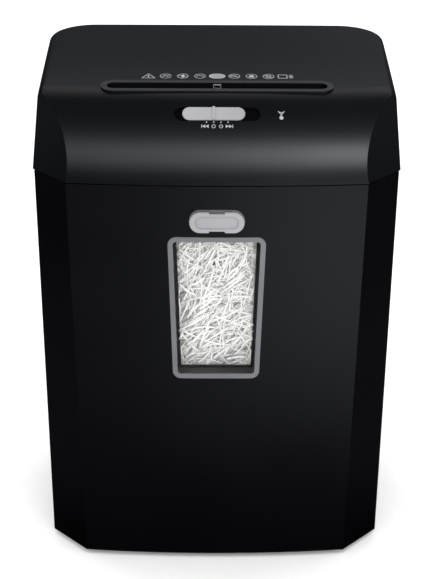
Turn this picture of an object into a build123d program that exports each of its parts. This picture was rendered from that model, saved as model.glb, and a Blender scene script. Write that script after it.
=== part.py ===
from build123d import *
import math
import os

# Deskside paper shredder with a pull-out bin.  Millimetres, +Z up, front towards -Y,
# origin on the floor under the middle of the overall box.

# ---------------------------------------------------------------- driving dimensions
body_width = 386.0            # over the side panels
body_depth = 268.0            # chord of the bowed front to the back
body_height = 458.6           # side panels and bin front, feet not counted
head_height = 101.4           # seam to the highest line of the head
foot_height = 6.0

wall = 3.0                    # moulded shells
fit_gap = 0.4                 # between fixed mouldings that sit beside each other
slide_gap = 1.5               # round the parts of the bin that slide
gear_gap = 1.0                # gears, shafts and covers that must not touch
running_gap = 0.06            # radial, shafts in bushes and gears on pins
shaft_fit_gap = 0.03          # radial, parts fixed on a shaft
tool_reach = 20.0             # cutting solids run past the faces they cut

front_bow = 7.4               # middle of the front ahead of its chord
chord_half_top = 156.0        # half width of the bowed front at the seam
chord_half_bottom = 150.6     # and at the bottom
corner_depth = 41.4           # how far the front corner facets run back
back_corner_radius = 39.0
head_lip = 1.5                # head stands out over the bin front and sides
head_front_lip = 1.2          # and this much at the middle of its front
head_lean = 1.0               # sides of the head lean in by this much at the back
head_waist = 8.5              # and by this much more at the front corners
head_corner_radius = 52.0     # back corners of the head's top
facet_lean_in = 13.2          # front edges of the head's facets lean in by this much
facet_lean_back = 11.0        # and back by this much
facet_creep = 22.0            # and the facets' back edges run back by this much
head_rim_radius = 8.0
apron_back = 22.0             # top of the upright apron, behind the chord and above the seam
apron_height = 66.9
shoulder_back = 58.0          # where the sloping top begins
shoulder_height = 83.5

handle_length = 58.0
handle_height = 23.5
handle_proud = 8.0            # handle plate ahead of the bowed front
handle_drop = 38.5            # handle middle below the seam

window_top_width = 103.4
window_bottom_width = 93.7
window_height = 166.8
window_drop = 57.4            # window frame's top below the seam
window_ring = 5.3
window_corner_radius = 9.0
window_reveal = 3.5           # tub wall that shows beside the paper

slot_back = 62.5              # paper slot behind the front chord
slot_length = 230.6
slot_width = 14.0
bezel_ring = 6.4
throat_gap = 5.0              # paper path between the guides

slider_back = 22.0            # mode slider behind the front chord
slider_length = 64.3
slider_width = 15.0
slider_track_length = 88.3
slider_step = 7.3             # between neighbouring positions
slider_dip = 2.6              # track floor under the panel

strip_width = 5.8             # width of a cut strip
disc_radius = 20.0
disc_overlap = 4.0
strips_per_shaft = 20
hub_radius = 15.5
hex_across = 14.0
journal_radius = 5.0
shaft_rise = 36.0             # cutter shafts above the seam

frame_plate = 3.0
frame_gap = 3.0               # last cutter disc to frame plate
gear_width = 9.0
motor_radius = 35.0
motor_length = 112.0
pin_radius = 4.0

tub_wall = 2.5
paper_crust = 4.5             # thickness whose mass equals that of the loose shreds

# ---------------------------------------------------------------- derived places
overall_depth = body_depth + front_bow + handle_proud
front_y = -overall_depth / 2 + front_bow + handle_proud
back_y = front_y + body_depth
base_z = foot_height
seam_z = base_z + body_height
top_z = seam_z + head_height
half_width = body_width / 2
bow_radius = (chord_half_top**2 + front_bow**2) / (2 * front_bow)
slot_y = front_y + slot_back
head_foot = (front_y - front_bow - head_front_lip, seam_z)
apron_end = (front_y + apron_back, seam_z + apron_height)
top_start = (front_y + shoulder_back, seam_z + shoulder_height)
handle_z = seam_z - handle_drop
window_top_z = seam_z - window_drop
window_bottom_z = window_top_z - window_height

shaft_z = seam_z + shaft_rise
centre_distance = 2 * disc_radius - disc_overlap
front_shaft_y = slot_y - centre_distance / 2
rear_shaft_y = slot_y + centre_distance / 2
disc_width = strip_width - 0.2
pitch = 2 * strip_width
cut_half = strips_per_shaft * strip_width
plate_in = cut_half + frame_gap
plate_out = plate_in + frame_plate

# Gear train: pinion, two compound gears, drive gear, then the two equal cutter gears.
motor_teeth, first_teeth, first_module = 12, 60, 1.0
second_pinion_teeth, second_teeth, second_module = 14, 48, 1.25
drive_pinion_teeth, drive_teeth, drive_module = 16, 40, 1.5
cutter_gear_teeth = 24
cutter_gear_module = centre_distance / cutter_gear_teeth
plane_one = plate_out + 3.0
plane_two = plane_one + gear_width + gear_gap
plane_three = plane_two + gear_width + gear_gap
cover_x = plane_three + gear_width + gear_gap

drive_distance = (drive_pinion_teeth + drive_teeth) * drive_module / 2
second_distance = (second_pinion_teeth + second_teeth) * second_module / 2
first_distance = (motor_teeth + first_teeth) * first_module / 2
second_rise = 12.8
second_y = rear_shaft_y + math.sqrt(drive_distance**2 - second_rise**2)
second_z = shaft_z + second_rise
first_y = second_y + math.sqrt(second_distance**2 - second_rise**2)
first_z = shaft_z
motor_rise = 6.0
motor_y = first_y + math.sqrt(first_distance**2 - motor_rise**2)
motor_z = first_z + motor_rise

tray_top_z = seam_z - 1.0
tray_z = tray_top_z - wall
frame_top_z = tray_z - fit_gap
tub_half = half_width - wall - 12.0
tub_front_y = front_y + wall + 8.0
tub_back_y = back_y - wall - 12.0
tub_floor_z = base_z + wall + 3.0
tub_top_z = seam_z - 32.0
paper_top_z = window_top_z - 3.0


# ---------------------------------------------------------------- shared outlines
def plan_outline(z, half_chord, half, inset=0.0):
    """Plan of the cabinet: bowed front, two corner facets, straight sides, round back corners."""
    with BuildSketch(Plane.XY.offset(z)) as plan:
        with BuildLine():
            ThreePointArc((-half_chord, front_y), (0, front_y - front_bow), (half_chord, front_y))
            Polyline(
                (half_chord, front_y),
                (half, front_y + corner_depth),
                (half, back_y),
                (-half, back_y),
                (-half, front_y + corner_depth),
                (-half_chord, front_y),
            )
        make_face()
        fillet(plan.vertices().group_by(Axis.Y)[-1], back_corner_radius)
        if inset:
            offset(amount=-inset, kind=Kind.INTERSECTION)
    return plan.sketch


def head_plan(z, rise, inset):
    """Plan of the head's sides at a share of its height; its front is left long, to be cut."""
    half = half_width + head_lip - rise * head_lean
    shoulder = half - rise * head_waist
    chord = chord_half_top - rise * facet_lean_in
    chord_y = front_y - head_lip + rise * facet_lean_back
    corner_y = front_y + corner_depth + rise * facet_creep
    spare_x = chord - tool_reach * (shoulder - chord) / (corner_y - chord_y)
    radius = back_corner_radius + rise * (head_corner_radius - back_corner_radius)
    with BuildSketch(Plane.XY.offset(z)) as plan:
        Polygon(
            (spare_x, chord_y - tool_reach),
            (shoulder, corner_y),
            (half, back_y),
            (-half, back_y),
            (-shoulder, corner_y),
            (-spare_x, chord_y - tool_reach),
            align=None,
        )
        fillet(plan.vertices().group_by(Axis.Y)[-1], radius)
        if inset:
            offset(amount=-inset, kind=Kind.INTERSECTION)
    return plan.sketch


def cabinet_block(inset, low, high):
    """Solid inside the cabinet's outer face, set in by inset, between two heights."""
    with BuildPart() as block:
        loft(
            [
                plan_outline(base_z, chord_half_bottom, half_width, inset),
                plan_outline(seam_z, chord_half_top, half_width, inset),
            ],
            ruled=True,
        )
        split(bisect_by=Plane.XY.offset(low), keep=Keep.TOP)
        split(bisect_by=Plane.XY.offset(high), keep=Keep.BOTTOM)
    return block.part


def head_line(corners):
    """The head's middle line as (y, z): upright apron, curled shoulder, gently sloping top."""
    upright = Vector(0, 1)
    with BuildLine() as line:
        apron = TangentArc(corners[0], corners[1], tangent=upright)
        shoulder = TangentArc(corners[1], corners[2], tangent=apron % 1)
        top = TangentArc(corners[2], corners[3], tangent=shoulder % 1)
    return line.line, [upright, apron % 1, shoulder % 1, top % 1]


head_corners = [Vector(*head_foot), Vector(*apron_end), Vector(*top_start), Vector(back_y, top_z)]
head_middle, head_tangents = head_line(head_corners)


def head_profile(inset):
    """Side view of the head, or of the room inside it; it runs on below the seam."""
    below = seam_z - 2 * wall
    beyond = back_y + tool_reach
    corners = [
        corner + Vector(tangent.Y, -tangent.X) * inset
        for corner, tangent in zip(head_corners, head_tangents)
    ]
    foot, end = corners[0], corners[-1]
    outline = head_line(corners)[0]
    with BuildSketch(Plane.YZ) as side:
        with BuildLine():
            add(outline)
            Polyline(end, (beyond, end.Y), (beyond, below), (foot.X, below), foot)
        make_face()
    return side.sketch


def head_block(inset, rounded):
    """Solid of the head, or of the room inside it when inset is the wall."""
    spare = 6.0
    rise = (head_height + spare) / head_height
    bow_axis = Axis((0, head_foot[0] + bow_radius, 0), (0, 0, 1))
    half_sweep = math.asin((body_width / 2 + spare) / (bow_radius - body_depth))
    sweep = math.degrees(2 * half_sweep)
    with BuildPart() as bowed:
        add(head_profile(inset).rotate(bow_axis, -sweep / 2))
        revolve(axis=bow_axis, revolution_arc=sweep)
    with BuildPart() as block:
        loft([head_plan(seam_z, 0.0, inset), head_plan(top_z + spare, rise, inset)], ruled=True)
        add(bowed.part, mode=Mode.INTERSECT)
        if rounded:
            top = block.faces().filter_by(lambda f: f.normal_at().Z > 0.9).sort_by(Axis.Y)[-1]
            rim = top.edges().filter_by(lambda e: e.center().Y > slot_y)
            fillet(rim, head_rim_radius)
    return block.part


def surface_plane(y):
    """Plane lying on the head's middle line at y, its normal pointing out."""
    line = head_middle.wires()[0]
    low, high = 0.0, 1.0
    for _ in range(40):
        middle = (low + high) / 2
        if line.position_at(middle).X < y:
            low = middle
        else:
            high = middle
    spot = line.position_at(low)
    along = line.tangent_at(low)
    return Plane(origin=(0, spot.X, spot.Y), x_dir=(1, 0, 0), z_dir=(0, -along.Y, along.X))


slot_plane = surface_plane(slot_y)
slider_plane = surface_plane(front_y + slider_back)


def stadium(length, width):
    """Round-ended slot outline, drawn on XY round the origin."""
    with BuildSketch() as outline:
        SlotOverall(length, width)
    return outline.sketch


def window_outline(inset):
    """Window shape, wider at its top, seen from the front; inset moves its edge inwards."""
    top_half = window_top_width / 2
    bottom_half = window_bottom_width / 2
    with BuildSketch(Plane.XZ) as outline:
        Polygon(
            (-bottom_half, window_bottom_z),
            (bottom_half, window_bottom_z),
            (top_half, window_top_z),
            (-top_half, window_top_z),
            align=None,
        )
        fillet(outline.vertices(), window_corner_radius)
        if inset:
            offset(amount=-inset)
    return outline.sketch_local


def front_prism(sketch, y_near, y_far):
    """A front-view outline made solid between two places along Y."""
    with BuildPart() as prism:
        with BuildSketch(Plane.XZ.offset(-y_far)):
            add(sketch)
        extrude(amount=y_far - y_near)
    return prism.part


def deck(low, high):
    """Flat deck inside the cabinet: against the side panels, clear of the bin front."""
    with BuildPart() as plate:
        add(cabinet_block(wall, low, high))
        split(bisect_by=Plane.XZ.offset(-front_y - corner_depth - slide_gap), keep=Keep.BOTTOM)
        add(cabinet_block(wall + slide_gap, low, high))
        split(bisect_by=Plane.XZ.offset(-front_y - wall - 5.0), keep=Keep.BOTTOM)
    return plate.part


def skin(low, high):
    """Outer wall of the cabinet all the way round, between two heights."""
    with BuildPart() as ring:
        add(cabinet_block(0.0, low, high))
        add(cabinet_block(wall, low, high), mode=Mode.SUBTRACT)
    return ring.part


def countersunk_screw(length, head=3.5, shank=1.75):
    """Countersunk screw pointing along -Z, its head flush with the origin."""
    with BuildPart() as screw:
        with BuildSketch(Plane.XZ):
            Polygon(
                (0, 0), (head, 0), (shank, -(head - shank)), (shank, -length), (0, -length),
                align=None,
            )
        revolve(axis=Axis.Z)
        with BuildSketch():
            Rectangle(head * 1.2, 0.9)
            Rectangle(0.9, head * 1.2)
        extrude(amount=-0.8, mode=Mode.SUBTRACT)
    return screw.part


def screw_hole(length, head=3.5, shank=1.75):
    """Cutter for a countersunk screw's hole, its wide end at the origin."""
    wide = head + fit_gap / 4
    narrow = shank + fit_gap / 4
    with BuildPart() as cutter:
        with BuildSketch(Plane.XZ):
            Polygon(
                (0, 0.5), (wide, 0.5), (wide, 0), (narrow, narrow - wide), (narrow, -length),
                (0, -length),
                align=None,
            )
        revolve(axis=Axis.Z)
    return cutter.part


def finish(piece, label):
    """Label a finished piece and write it to its own STEP file."""
    piece.part.label = label
    export_step(piece.part, f"parts/{label}.step")


os.makedirs("parts", exist_ok=True)

# ---------------------------------------------------------------- cabinet
corner_x = half_width - back_corner_radius
side_front_y = front_y + corner_depth + slide_gap
flange_depth = 8.0
rear_screw_heights = [base_z + 45.0, base_z + body_height / 2, seam_z - 60.0]
rear_screw_x = corner_x - 7.0


def side_panel(side):
    """Side moulding with its round back corner; side is +1 for right and -1 for left."""
    with BuildPart() as panel:
        add(skin(base_z, seam_z))
        split(bisect_by=Plane.YZ.offset(side * corner_x), keep=Keep.TOP if side > 0 else Keep.BOTTOM)
        split(bisect_by=Plane.XZ.offset(-side_front_y), keep=Keep.BOTTOM)
        inner = side * (half_width - wall)
        height = tray_z - base_z - 2 * wall
        with Locations((inner - side * flange_depth / 2, side_front_y + wall / 2, base_z + wall)):
            Box(flange_depth, wall, height - wall,
                align=(Align.CENTER, Align.CENTER, Align.MIN))
        with Locations((side * (corner_x - 5.0), back_y - 1.5 * wall, base_z + wall)):
            Box(18.0, wall, height - wall, align=(Align.CENTER, Align.CENTER, Align.MIN))
        with Locations(*[
            Location((side * rear_screw_x, back_y, z), (-90, 0, 0)) for z in rear_screw_heights
        ]):
            Cylinder(1.75 + fit_gap / 4, 6 * wall, mode=Mode.SUBTRACT)
    return panel.part


with BuildPart() as left_side_panel:
    add(side_panel(-1))
finish(left_side_panel, "left_side_panel")

with BuildPart() as right_side_panel:
    add(side_panel(1))
finish(right_side_panel, "right_side_panel")

with BuildPart() as rear_panel:
    with Locations((0, back_y - wall / 2, (base_z + seam_z) / 2)):
        Box(2 * (corner_x - fit_gap), wall, body_height)
    with Locations(*[
        Location((side * rear_screw_x, back_y, z), (-90, 0, 0))
        for side in (-1, 1) for z in rear_screw_heights
    ]):
        add(screw_hole(4 * wall), mode=Mode.SUBTRACT)
finish(rear_panel, "rear_panel")

with BuildPart() as panel_screws:
    with Locations(*[
        Location((side * rear_screw_x, back_y - 0.1, z), (-90, 0, 0))
        for side in (-1, 1) for z in rear_screw_heights
    ]):
        add(countersunk_screw(3 * wall))
finish(panel_screws, "panel_screws")

with BuildPart() as base_tray:
    add(deck(base_z, base_z + wall))
    with BuildSketch(Plane.XY.offset(base_z + wall)):
        with Locations((0, back_y - 2 * wall - 6.0)):
            Rectangle(2 * corner_x - 60.0, wall)
    extrude(amount=14.0)
finish(base_tray, "base_tray")

post_x = half_width - 18.0
post_radius = 4.5
post_spots = [(side * post_x, y) for side in (-1, 1) for y in (front_y + 60.0, back_y - 45.0)]

with BuildPart() as top_frame:
    add(deck(frame_top_z - wall, frame_top_z))
    with BuildSketch(Plane.XY.offset(frame_top_z - wall)):
        with Locations((0, (tub_front_y + tub_back_y) / 2)):
            RectangleRounded(2 * tub_half - 30.0, tub_back_y - tub_front_y - 30.0, 12.0)
        with Locations(*post_spots):
            Circle(4.2)
    extrude(amount=wall, mode=Mode.SUBTRACT)
finish(top_frame, "top_frame")

foot_radius = 13.0
foot_spots = [
    (side * (half_width - 45.0), y) for side in (-1, 1) for y in (front_y + 50.0, back_y - 45.0)
]
with BuildPart() as rubber_feet:
    with BuildSketch():
        with Locations(*foot_spots):
            Circle(foot_radius)
    extrude(amount=foot_height)
    chamfer(rubber_feet.edges().group_by(Axis.Z)[0], 1.2)
finish(rubber_feet, "rubber_feet")

rail_side_gap = 1.5
rail_length = tub_back_y - front_y - corner_depth - 20.0
with BuildPart() as bin_guide_rails:
    for side in (-1, 1):
        with BuildSketch(Plane.XZ.offset(-(tub_back_y - 5.0))):
            rail_x = tub_half + rail_side_gap
            Polygon(
                (side * (rail_x + 4.0), base_z + wall),
                (side * (rail_x + 4.0), base_z + wall + 15.0),
                (side * rail_x, base_z + wall + 15.0),
                (side * rail_x, tub_floor_z - 0.3),
                (side * (rail_x - 12.0), tub_floor_z - 0.3),
                (side * (rail_x - 12.0), base_z + wall),
                align=None,
            )
        extrude(amount=rail_length)
finish(bin_guide_rails, "bin_guide_rails")

# ---------------------------------------------------------------- pull-out bin
boss_radius = 5.0
boss_x = 118.0
boss_heights = [base_z + 60.0, base_z + body_height / 2 - 20.0, tub_top_z - 40.0]
boss_spots = [(side * boss_x, z) for side in (-1, 1) for z in boss_heights]
spigot_wall = 2.0
spigot_back_y = front_y + wall + 4.0
pane_thickness = 2.0
frame_proud = 1.2
handle_screw_x = 16.0

with BuildPart() as bin_front:
    add(skin(base_z + 0.5, seam_z - slide_gap))
    split(bisect_by=Plane.XZ.offset(-(front_y + corner_depth)), keep=Keep.TOP)
    with BuildSketch(Plane.XZ.offset(-tub_front_y)):
        with Locations(*boss_spots):
            Circle(boss_radius)
    extrude(amount=tub_front_y - front_y)
    with BuildSketch(Plane.XZ.offset(-tub_front_y)):
        with Locations(*boss_spots):
            Circle(1.75 + fit_gap / 4)
    extrude(amount=8.0, mode=Mode.SUBTRACT)
    add(front_prism(window_outline(window_ring - spigot_wall - fit_gap / 2), front_y - tool_reach,
                    front_y + tool_reach), mode=Mode.SUBTRACT)
    with Locations(*[
        Location((side * handle_screw_x, front_y, handle_z), (90, 0, 0)) for side in (-1, 1)
    ]):
        Cylinder(1.75 + fit_gap / 4, 40.0, mode=Mode.SUBTRACT)
finish(bin_front, "bin_front")

with BuildPart() as window_frame:
    add(front_prism(window_outline(0.0), front_y - tool_reach, front_y + tool_reach))
    add(cabinet_block(-frame_proud, base_z, seam_z), mode=Mode.INTERSECT)
    add(cabinet_block(0.0, base_z, seam_z), mode=Mode.SUBTRACT)
    add(front_prism(window_outline(window_ring - spigot_wall), front_y - front_bow + 0.5,
                    spigot_back_y))
    add(front_prism(window_outline(window_ring), front_y - tool_reach, front_y + tool_reach),
        mode=Mode.SUBTRACT)
finish(window_frame, "window_frame")

with BuildPart() as window_pane:
    add(front_prism(window_outline(window_ring - spigot_wall), spigot_back_y,
                    spigot_back_y + pane_thickness))
finish(window_pane, "window_pane")

handle_front_y = front_y - front_bow - handle_proud
handle_plate = 3.2
handle_base_thick = 2.0
handle_neck = (36.0, 13.0)
handle_notch = (15.0, 1.8)
handle_dish_depth = 1.6
handle_dish_rim = 13.0        # how much shorter the dish is than the plate


def pill(length, height, z=handle_z):
    """Round-ended outline in front view, centred on the handle."""
    with BuildSketch(Plane.XZ) as outline:
        with Locations((0, z)):
            SlotOverall(length, height)
    return outline.sketch_local


with BuildPart() as handle_base:
    add(front_prism(pill(handle_length, handle_height), front_y - tool_reach, front_y + tool_reach))
    add(cabinet_block(-handle_base_thick, base_z, seam_z), mode=Mode.INTERSECT)
    add(front_prism(pill(*handle_neck), handle_front_y + handle_plate, front_y))
    add(cabinet_block(0.0, base_z, seam_z), mode=Mode.SUBTRACT)
    with Locations(*[
        Location((side * handle_screw_x, front_y, handle_z), (90, 0, 0)) for side in (-1, 1)
    ]):
        Cylinder(1.75 + fit_gap / 4, 60.0, mode=Mode.SUBTRACT)
finish(handle_base, "handle_base")

with BuildPart() as bin_handle:
    add(front_prism(pill(handle_length - 1.0, handle_height - 1.0), handle_front_y,
                    handle_front_y + handle_plate))
    for side in (-1, 1):
        with BuildSketch(Plane.XZ.offset(-(handle_front_y + handle_plate))):
            with Locations((0, handle_z + side * (handle_height / 2 - 0.5))):
                Trapezoid(
                    handle_notch[0] + 4.0, 2 * handle_notch[1], 62,
                    rotation=0 if side < 0 else 180,
                )
        extrude(amount=handle_plate, mode=Mode.SUBTRACT)
    add(front_prism(pill(handle_length - handle_dish_rim, handle_height - handle_dish_rim + 3.0),
                    handle_front_y, handle_front_y + handle_dish_depth), mode=Mode.SUBTRACT)
    dish_rim = bin_handle.edges().filter_by(Plane.XZ).group_by(Axis.Y)[0]
    chamfer(dish_rim, 0.6)
finish(bin_handle, "bin_handle")

handle_screw_length = wall + handle_proud - handle_plate - 1.2
with BuildPart() as handle_screws:
    with Locations(*[
        Location((side * handle_screw_x, front_y - front_bow + wall + 0.6, handle_z), (-90, 0, 0))
        for side in (-1, 1)
    ]):
        Cylinder(3.4, 1.6, align=(Align.CENTER, Align.CENTER, Align.MIN))
        Cylinder(1.75, handle_screw_length, align=(Align.CENTER, Align.CENTER, Align.MAX))
finish(handle_screws, "handle_screws")


def tub_block(inset, low, high):
    """Straight-sided block of the tub's plan, set in from the tub's outer face."""
    with BuildPart() as block:
        extrude(
            plan_outline(low, chord_half_bottom, half_width, half_width - tub_half + inset),
            amount=high - low,
        )
        split(bisect_by=Plane.XZ.offset(-(tub_front_y + inset)), keep=Keep.BOTTOM)
    return block.part


with BuildPart() as bin_tub:
    add(tub_block(0.0, tub_floor_z, tub_top_z))
    add(tub_block(tub_wall, tub_floor_z + tub_wall, tub_top_z), mode=Mode.SUBTRACT)
    for rise in (-window_reveal, window_reveal):
        add(
            front_prism(window_outline(window_ring + window_reveal), tub_front_y - 10.0,
                        tub_front_y + 10.0).moved(Location((0, 0, rise))),
            mode=Mode.SUBTRACT,
        )
    with Locations(*[
        Location((x, tub_front_y + tub_wall, z), (-90, 0, 0)) for x, z in boss_spots
    ]):
        add(screw_hole(4 * wall), mode=Mode.SUBTRACT)
finish(bin_tub, "bin_tub")

with BuildPart() as bin_front_screws:
    with Locations(*[
        Location((x, tub_front_y + tub_wall - 0.1, z), (-90, 0, 0)) for x, z in boss_spots
    ]):
        add(countersunk_screw(9.0))
finish(bin_front_screws, "bin_front_screws")

paper_gap = 1.0
with BuildPart() as shredded_paper:
    add(tub_block(tub_wall + paper_gap, tub_floor_z + tub_wall, paper_top_z))
    add(tub_block(tub_wall + paper_gap + paper_crust, tub_floor_z + tub_wall,
                  paper_top_z - paper_crust), mode=Mode.SUBTRACT)
finish(shredded_paper, "shredded_paper")

# ---------------------------------------------------------------- head shell
light_x = 57.0
light_radius = 2.0
gland_x = -138.0
gland_z = seam_z + 24.0
gland_radius = 6.0
bezel_proud = 0.8
bezel_depth = 6.0
bezel_flange = 1.0
track_edge = 0.5

with BuildPart() as head_posts:
    with BuildSketch(Plane.XY.offset(tray_top_z)):
        with Locations(*post_spots):
            Circle(post_radius)
    extrude(amount=head_height + wall)
    add(head_block(wall / 2, False), mode=Mode.INTERSECT)
    with BuildSketch(Plane.XY.offset(seam_z)):
        with Locations(*post_spots):
            Circle(post_radius)
    extrude(amount=tray_top_z - seam_z)

with BuildPart() as head_top_cover:
    add(head_block(0.0, True))
    add(head_block(wall, False), mode=Mode.SUBTRACT)
    add(head_posts.part)
    with BuildSketch(Plane.XY.offset(tray_top_z)):
        with Locations(*post_spots):
            Circle(1.5)
    extrude(amount=18.0, mode=Mode.SUBTRACT)
    with BuildSketch(slot_plane):
        add(stadium(slot_length + 2 * bezel_ring + fit_gap, slot_width + 2 * bezel_ring + fit_gap))
    extrude(amount=4 * wall, both=True, mode=Mode.SUBTRACT)
    with BuildSketch(slider_plane):
        add(stadium(slider_track_length, slider_width + 2 * track_edge))
        with Locations((light_x, 0)):
            Circle(light_radius + fit_gap / 4)
    extrude(amount=2.5 * wall, both=True, mode=Mode.SUBTRACT)
    with Locations(Location((gland_x, back_y, gland_z), (90, 0, 0))):
        Cylinder(gland_radius + fit_gap / 4, 4 * wall, mode=Mode.SUBTRACT)
finish(head_top_cover, "head_top_cover")

with BuildPart() as slot_bezel:
    with BuildSketch(slot_plane.offset(-bezel_depth)):
        add(stadium(slot_length + 2 * bezel_ring, slot_width + 2 * bezel_ring))
    extrude(amount=bezel_depth + bezel_proud)
    with BuildSketch(slot_plane.offset(-bezel_depth)):
        add(stadium(slot_length + 2 * bezel_ring + 5.0, slot_width + 2 * bezel_ring + 5.0))
    extrude(amount=bezel_flange)
    with BuildSketch(slot_plane.offset(-bezel_depth)):
        add(stadium(slot_length, slot_width))
    extrude(amount=bezel_depth + bezel_proud, mode=Mode.SUBTRACT)
finish(slot_bezel, "slot_bezel")

# ---------------------------------------------------------------- head: paper path and controls
guide_wall = 1.6
guide_half = plate_in - 0.3
guide_top_z = slot_plane.origin.Z - bezel_depth - 3.5
guide_low_z = shaft_z + 18.0
lever_half = 4.0
lever_notch = lever_half + 2.0
lever_pin_y = slot_y + 12.0
lever_pin_z = shaft_z + 27.4
lever_pin_radius = 1.2


def throat_guide(side):
    """Bent sheet from the slot down to the cutters; side is -1 in front and +1 behind."""
    near = throat_gap / 2
    mouth = slot_width / 2
    with BuildPart() as guide:
        with BuildSketch(Plane.YZ.offset(-guide_half)):
            Polygon(
                (slot_y + side * near, guide_low_z),
                (slot_y + side * near, guide_top_z - 10.0),
                (slot_y + side * mouth, guide_top_z),
                (slot_y + side * (mouth + 6.0), guide_top_z),
                (slot_y + side * (mouth + 6.0), guide_top_z - guide_wall),
                (slot_y + side * (mouth + 1.0), guide_top_z - guide_wall),
                (slot_y + side * (near + guide_wall), guide_top_z - 10.6),
                (slot_y + side * (near + guide_wall), guide_low_z),
                align=None,
            )
        extrude(amount=2 * guide_half)
        with Locations((0, slot_y + side * near, guide_low_z - 1.0)):
            Box(2 * lever_notch, 60.0, guide_top_z - guide_low_z - 4.0,
                align=(Align.CENTER, Align.CENTER, Align.MIN), mode=Mode.SUBTRACT)
    return guide.part


with BuildPart() as throat_guide_front:
    add(throat_guide(-1))
finish(throat_guide_front, "throat_guide_front")

with BuildPart() as throat_guide_rear:
    add(throat_guide(1))
finish(throat_guide_rear, "throat_guide_rear")

track_floor = 1.4
stem_half = 2.0
slider_rest_x = -slider_step / 2
slider_left = -slider_step
slider_right = 2 * slider_step

with BuildPart() as switch_track:
    with BuildSketch(slider_plane.offset(-wall - slider_dip)):
        add(stadium(slider_track_length + 5.0, slider_width + 6.0))
    extrude(amount=track_floor)
    with BuildSketch(slider_plane.offset(-wall - slider_dip + track_floor)):
        add(stadium(slider_track_length - 0.6, slider_width + 2 * track_edge - 0.6))
        add(stadium(slider_track_length - 3.0, slider_width + 2 * track_edge - 3.0),
            mode=Mode.SUBTRACT)
    extrude(amount=slider_dip - 1.2)
    with BuildSketch(slider_plane.offset(-wall - slider_dip)):
        with Locations((slider_rest_x + (slider_left + slider_right) / 2, 0)):
            Rectangle(slider_right - slider_left + 2 * stem_half + 2.0, 2 * stem_half + 1.0)
    extrude(amount=track_floor, mode=Mode.SUBTRACT)
finish(switch_track, "switch_track")

slider_under = -wall - slider_dip + track_floor + 0.4
slider_over = 1.6
with BuildPart() as mode_slider:
    with BuildSketch(slider_plane.offset(slider_under + slider_dip)):
        with Locations((slider_rest_x, 0)):
            add(stadium(slider_length, slider_width))
    extrude(amount=slider_over - slider_under - slider_dip)
    top_rim = mode_slider.faces().sort_by(Axis.Z)[-1].edges()
    chamfer(top_rim, 0.8)
    with BuildSketch(slider_plane.offset(slider_over - 0.5)):
        with Locations((slider_rest_x, 0)):
            Rectangle(2.6, slider_width + 0.4)
    extrude(amount=1.4)
    with BuildSketch(slider_plane.offset(-wall - slider_dip - 4.0)):
        with Locations((slider_rest_x, 0)):
            Rectangle(2 * stem_half, 2 * stem_half)
    extrude(amount=wall + slider_dip + 4.0)
finish(mode_slider, "mode_slider")

switch_depth = 7.0
with BuildPart() as slide_switch_body:
    with BuildSketch(slider_plane.offset(-wall - slider_dip - switch_depth)):
        Rectangle(46.0, 11.0)
    extrude(amount=switch_depth)
    with BuildSketch(slider_plane.offset(-wall - slider_dip - 5.0)):
        with Locations((slider_rest_x + (slider_left + slider_right) / 2, 0)):
            Rectangle(slider_right - slider_left + 2 * stem_half + 2.0, 2 * stem_half + 1.0)
    extrude(amount=5.0, mode=Mode.SUBTRACT)
finish(slide_switch_body, "slide_switch_body")

light_drop = light_x**2 / (2 * bow_radius) * -slider_plane.z_dir.Y
with BuildPart() as status_light_lens:
    with BuildSketch(slider_plane.offset(-wall - light_drop - 2.0)):
        with Locations((light_x, 0)):
            Circle(light_radius)
    extrude(amount=wall + 2.2)
    with BuildSketch(slider_plane.offset(-wall - light_drop - 2.0)):
        with Locations((light_x, 0)):
            Circle(light_radius + 1.2)
    extrude(amount=1.4)
finish(status_light_lens, "status_light_lens")

cheek_in = lever_half + 0.6
cheek_out = cheek_in + 2.0
with BuildPart() as sensor_lever:
    with BuildSketch(Plane.YZ.offset(-lever_half)):
        with BuildLine():
            Polyline(
                (lever_pin_y, lever_pin_z + 2.6),
                (slot_y - 3.5, lever_pin_z + 5.6),
                (slot_y - 4.5, lever_pin_z + 4.2),
                (lever_pin_y - 3.0, lever_pin_z - 2.0),
                (lever_pin_y, lever_pin_z - 2.6),
            )
            ThreePointArc(
                (lever_pin_y, lever_pin_z - 2.6),
                (lever_pin_y + 2.6, lever_pin_z),
                (lever_pin_y, lever_pin_z + 2.6),
            )
        make_face()
    extrude(amount=2 * lever_half)
    with BuildSketch(Plane.YZ.offset(-cheek_out)):
        with Locations((lever_pin_y, lever_pin_z)):
            Circle(lever_pin_radius)
    extrude(amount=2 * cheek_out)
finish(sensor_lever, "sensor_lever")

with BuildPart() as sensor_switch:
    with BuildSketch(Plane.YZ.offset(-cheek_out - 2.0)):
        with Locations((lever_pin_y + 10.5, lever_pin_z + 2.0)):
            Rectangle(11.0, 13.0)
    extrude(amount=2 * cheek_out + 4.0)
    for start in (-cheek_out, cheek_in):
        with BuildSketch(Plane.YZ.offset(start)):
            with Locations((lever_pin_y + 2.0, lever_pin_z)):
                Rectangle(9.0, 7.0)
        extrude(amount=cheek_out - cheek_in)
    with BuildSketch(Plane.YZ.offset(-cheek_out - 2.0)):
        with Locations((lever_pin_y, lever_pin_z)):
            Circle(lever_pin_radius + running_gap)
    extrude(amount=2 * cheek_out + 4.0, mode=Mode.SUBTRACT)
finish(sensor_switch, "sensor_switch")

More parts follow.
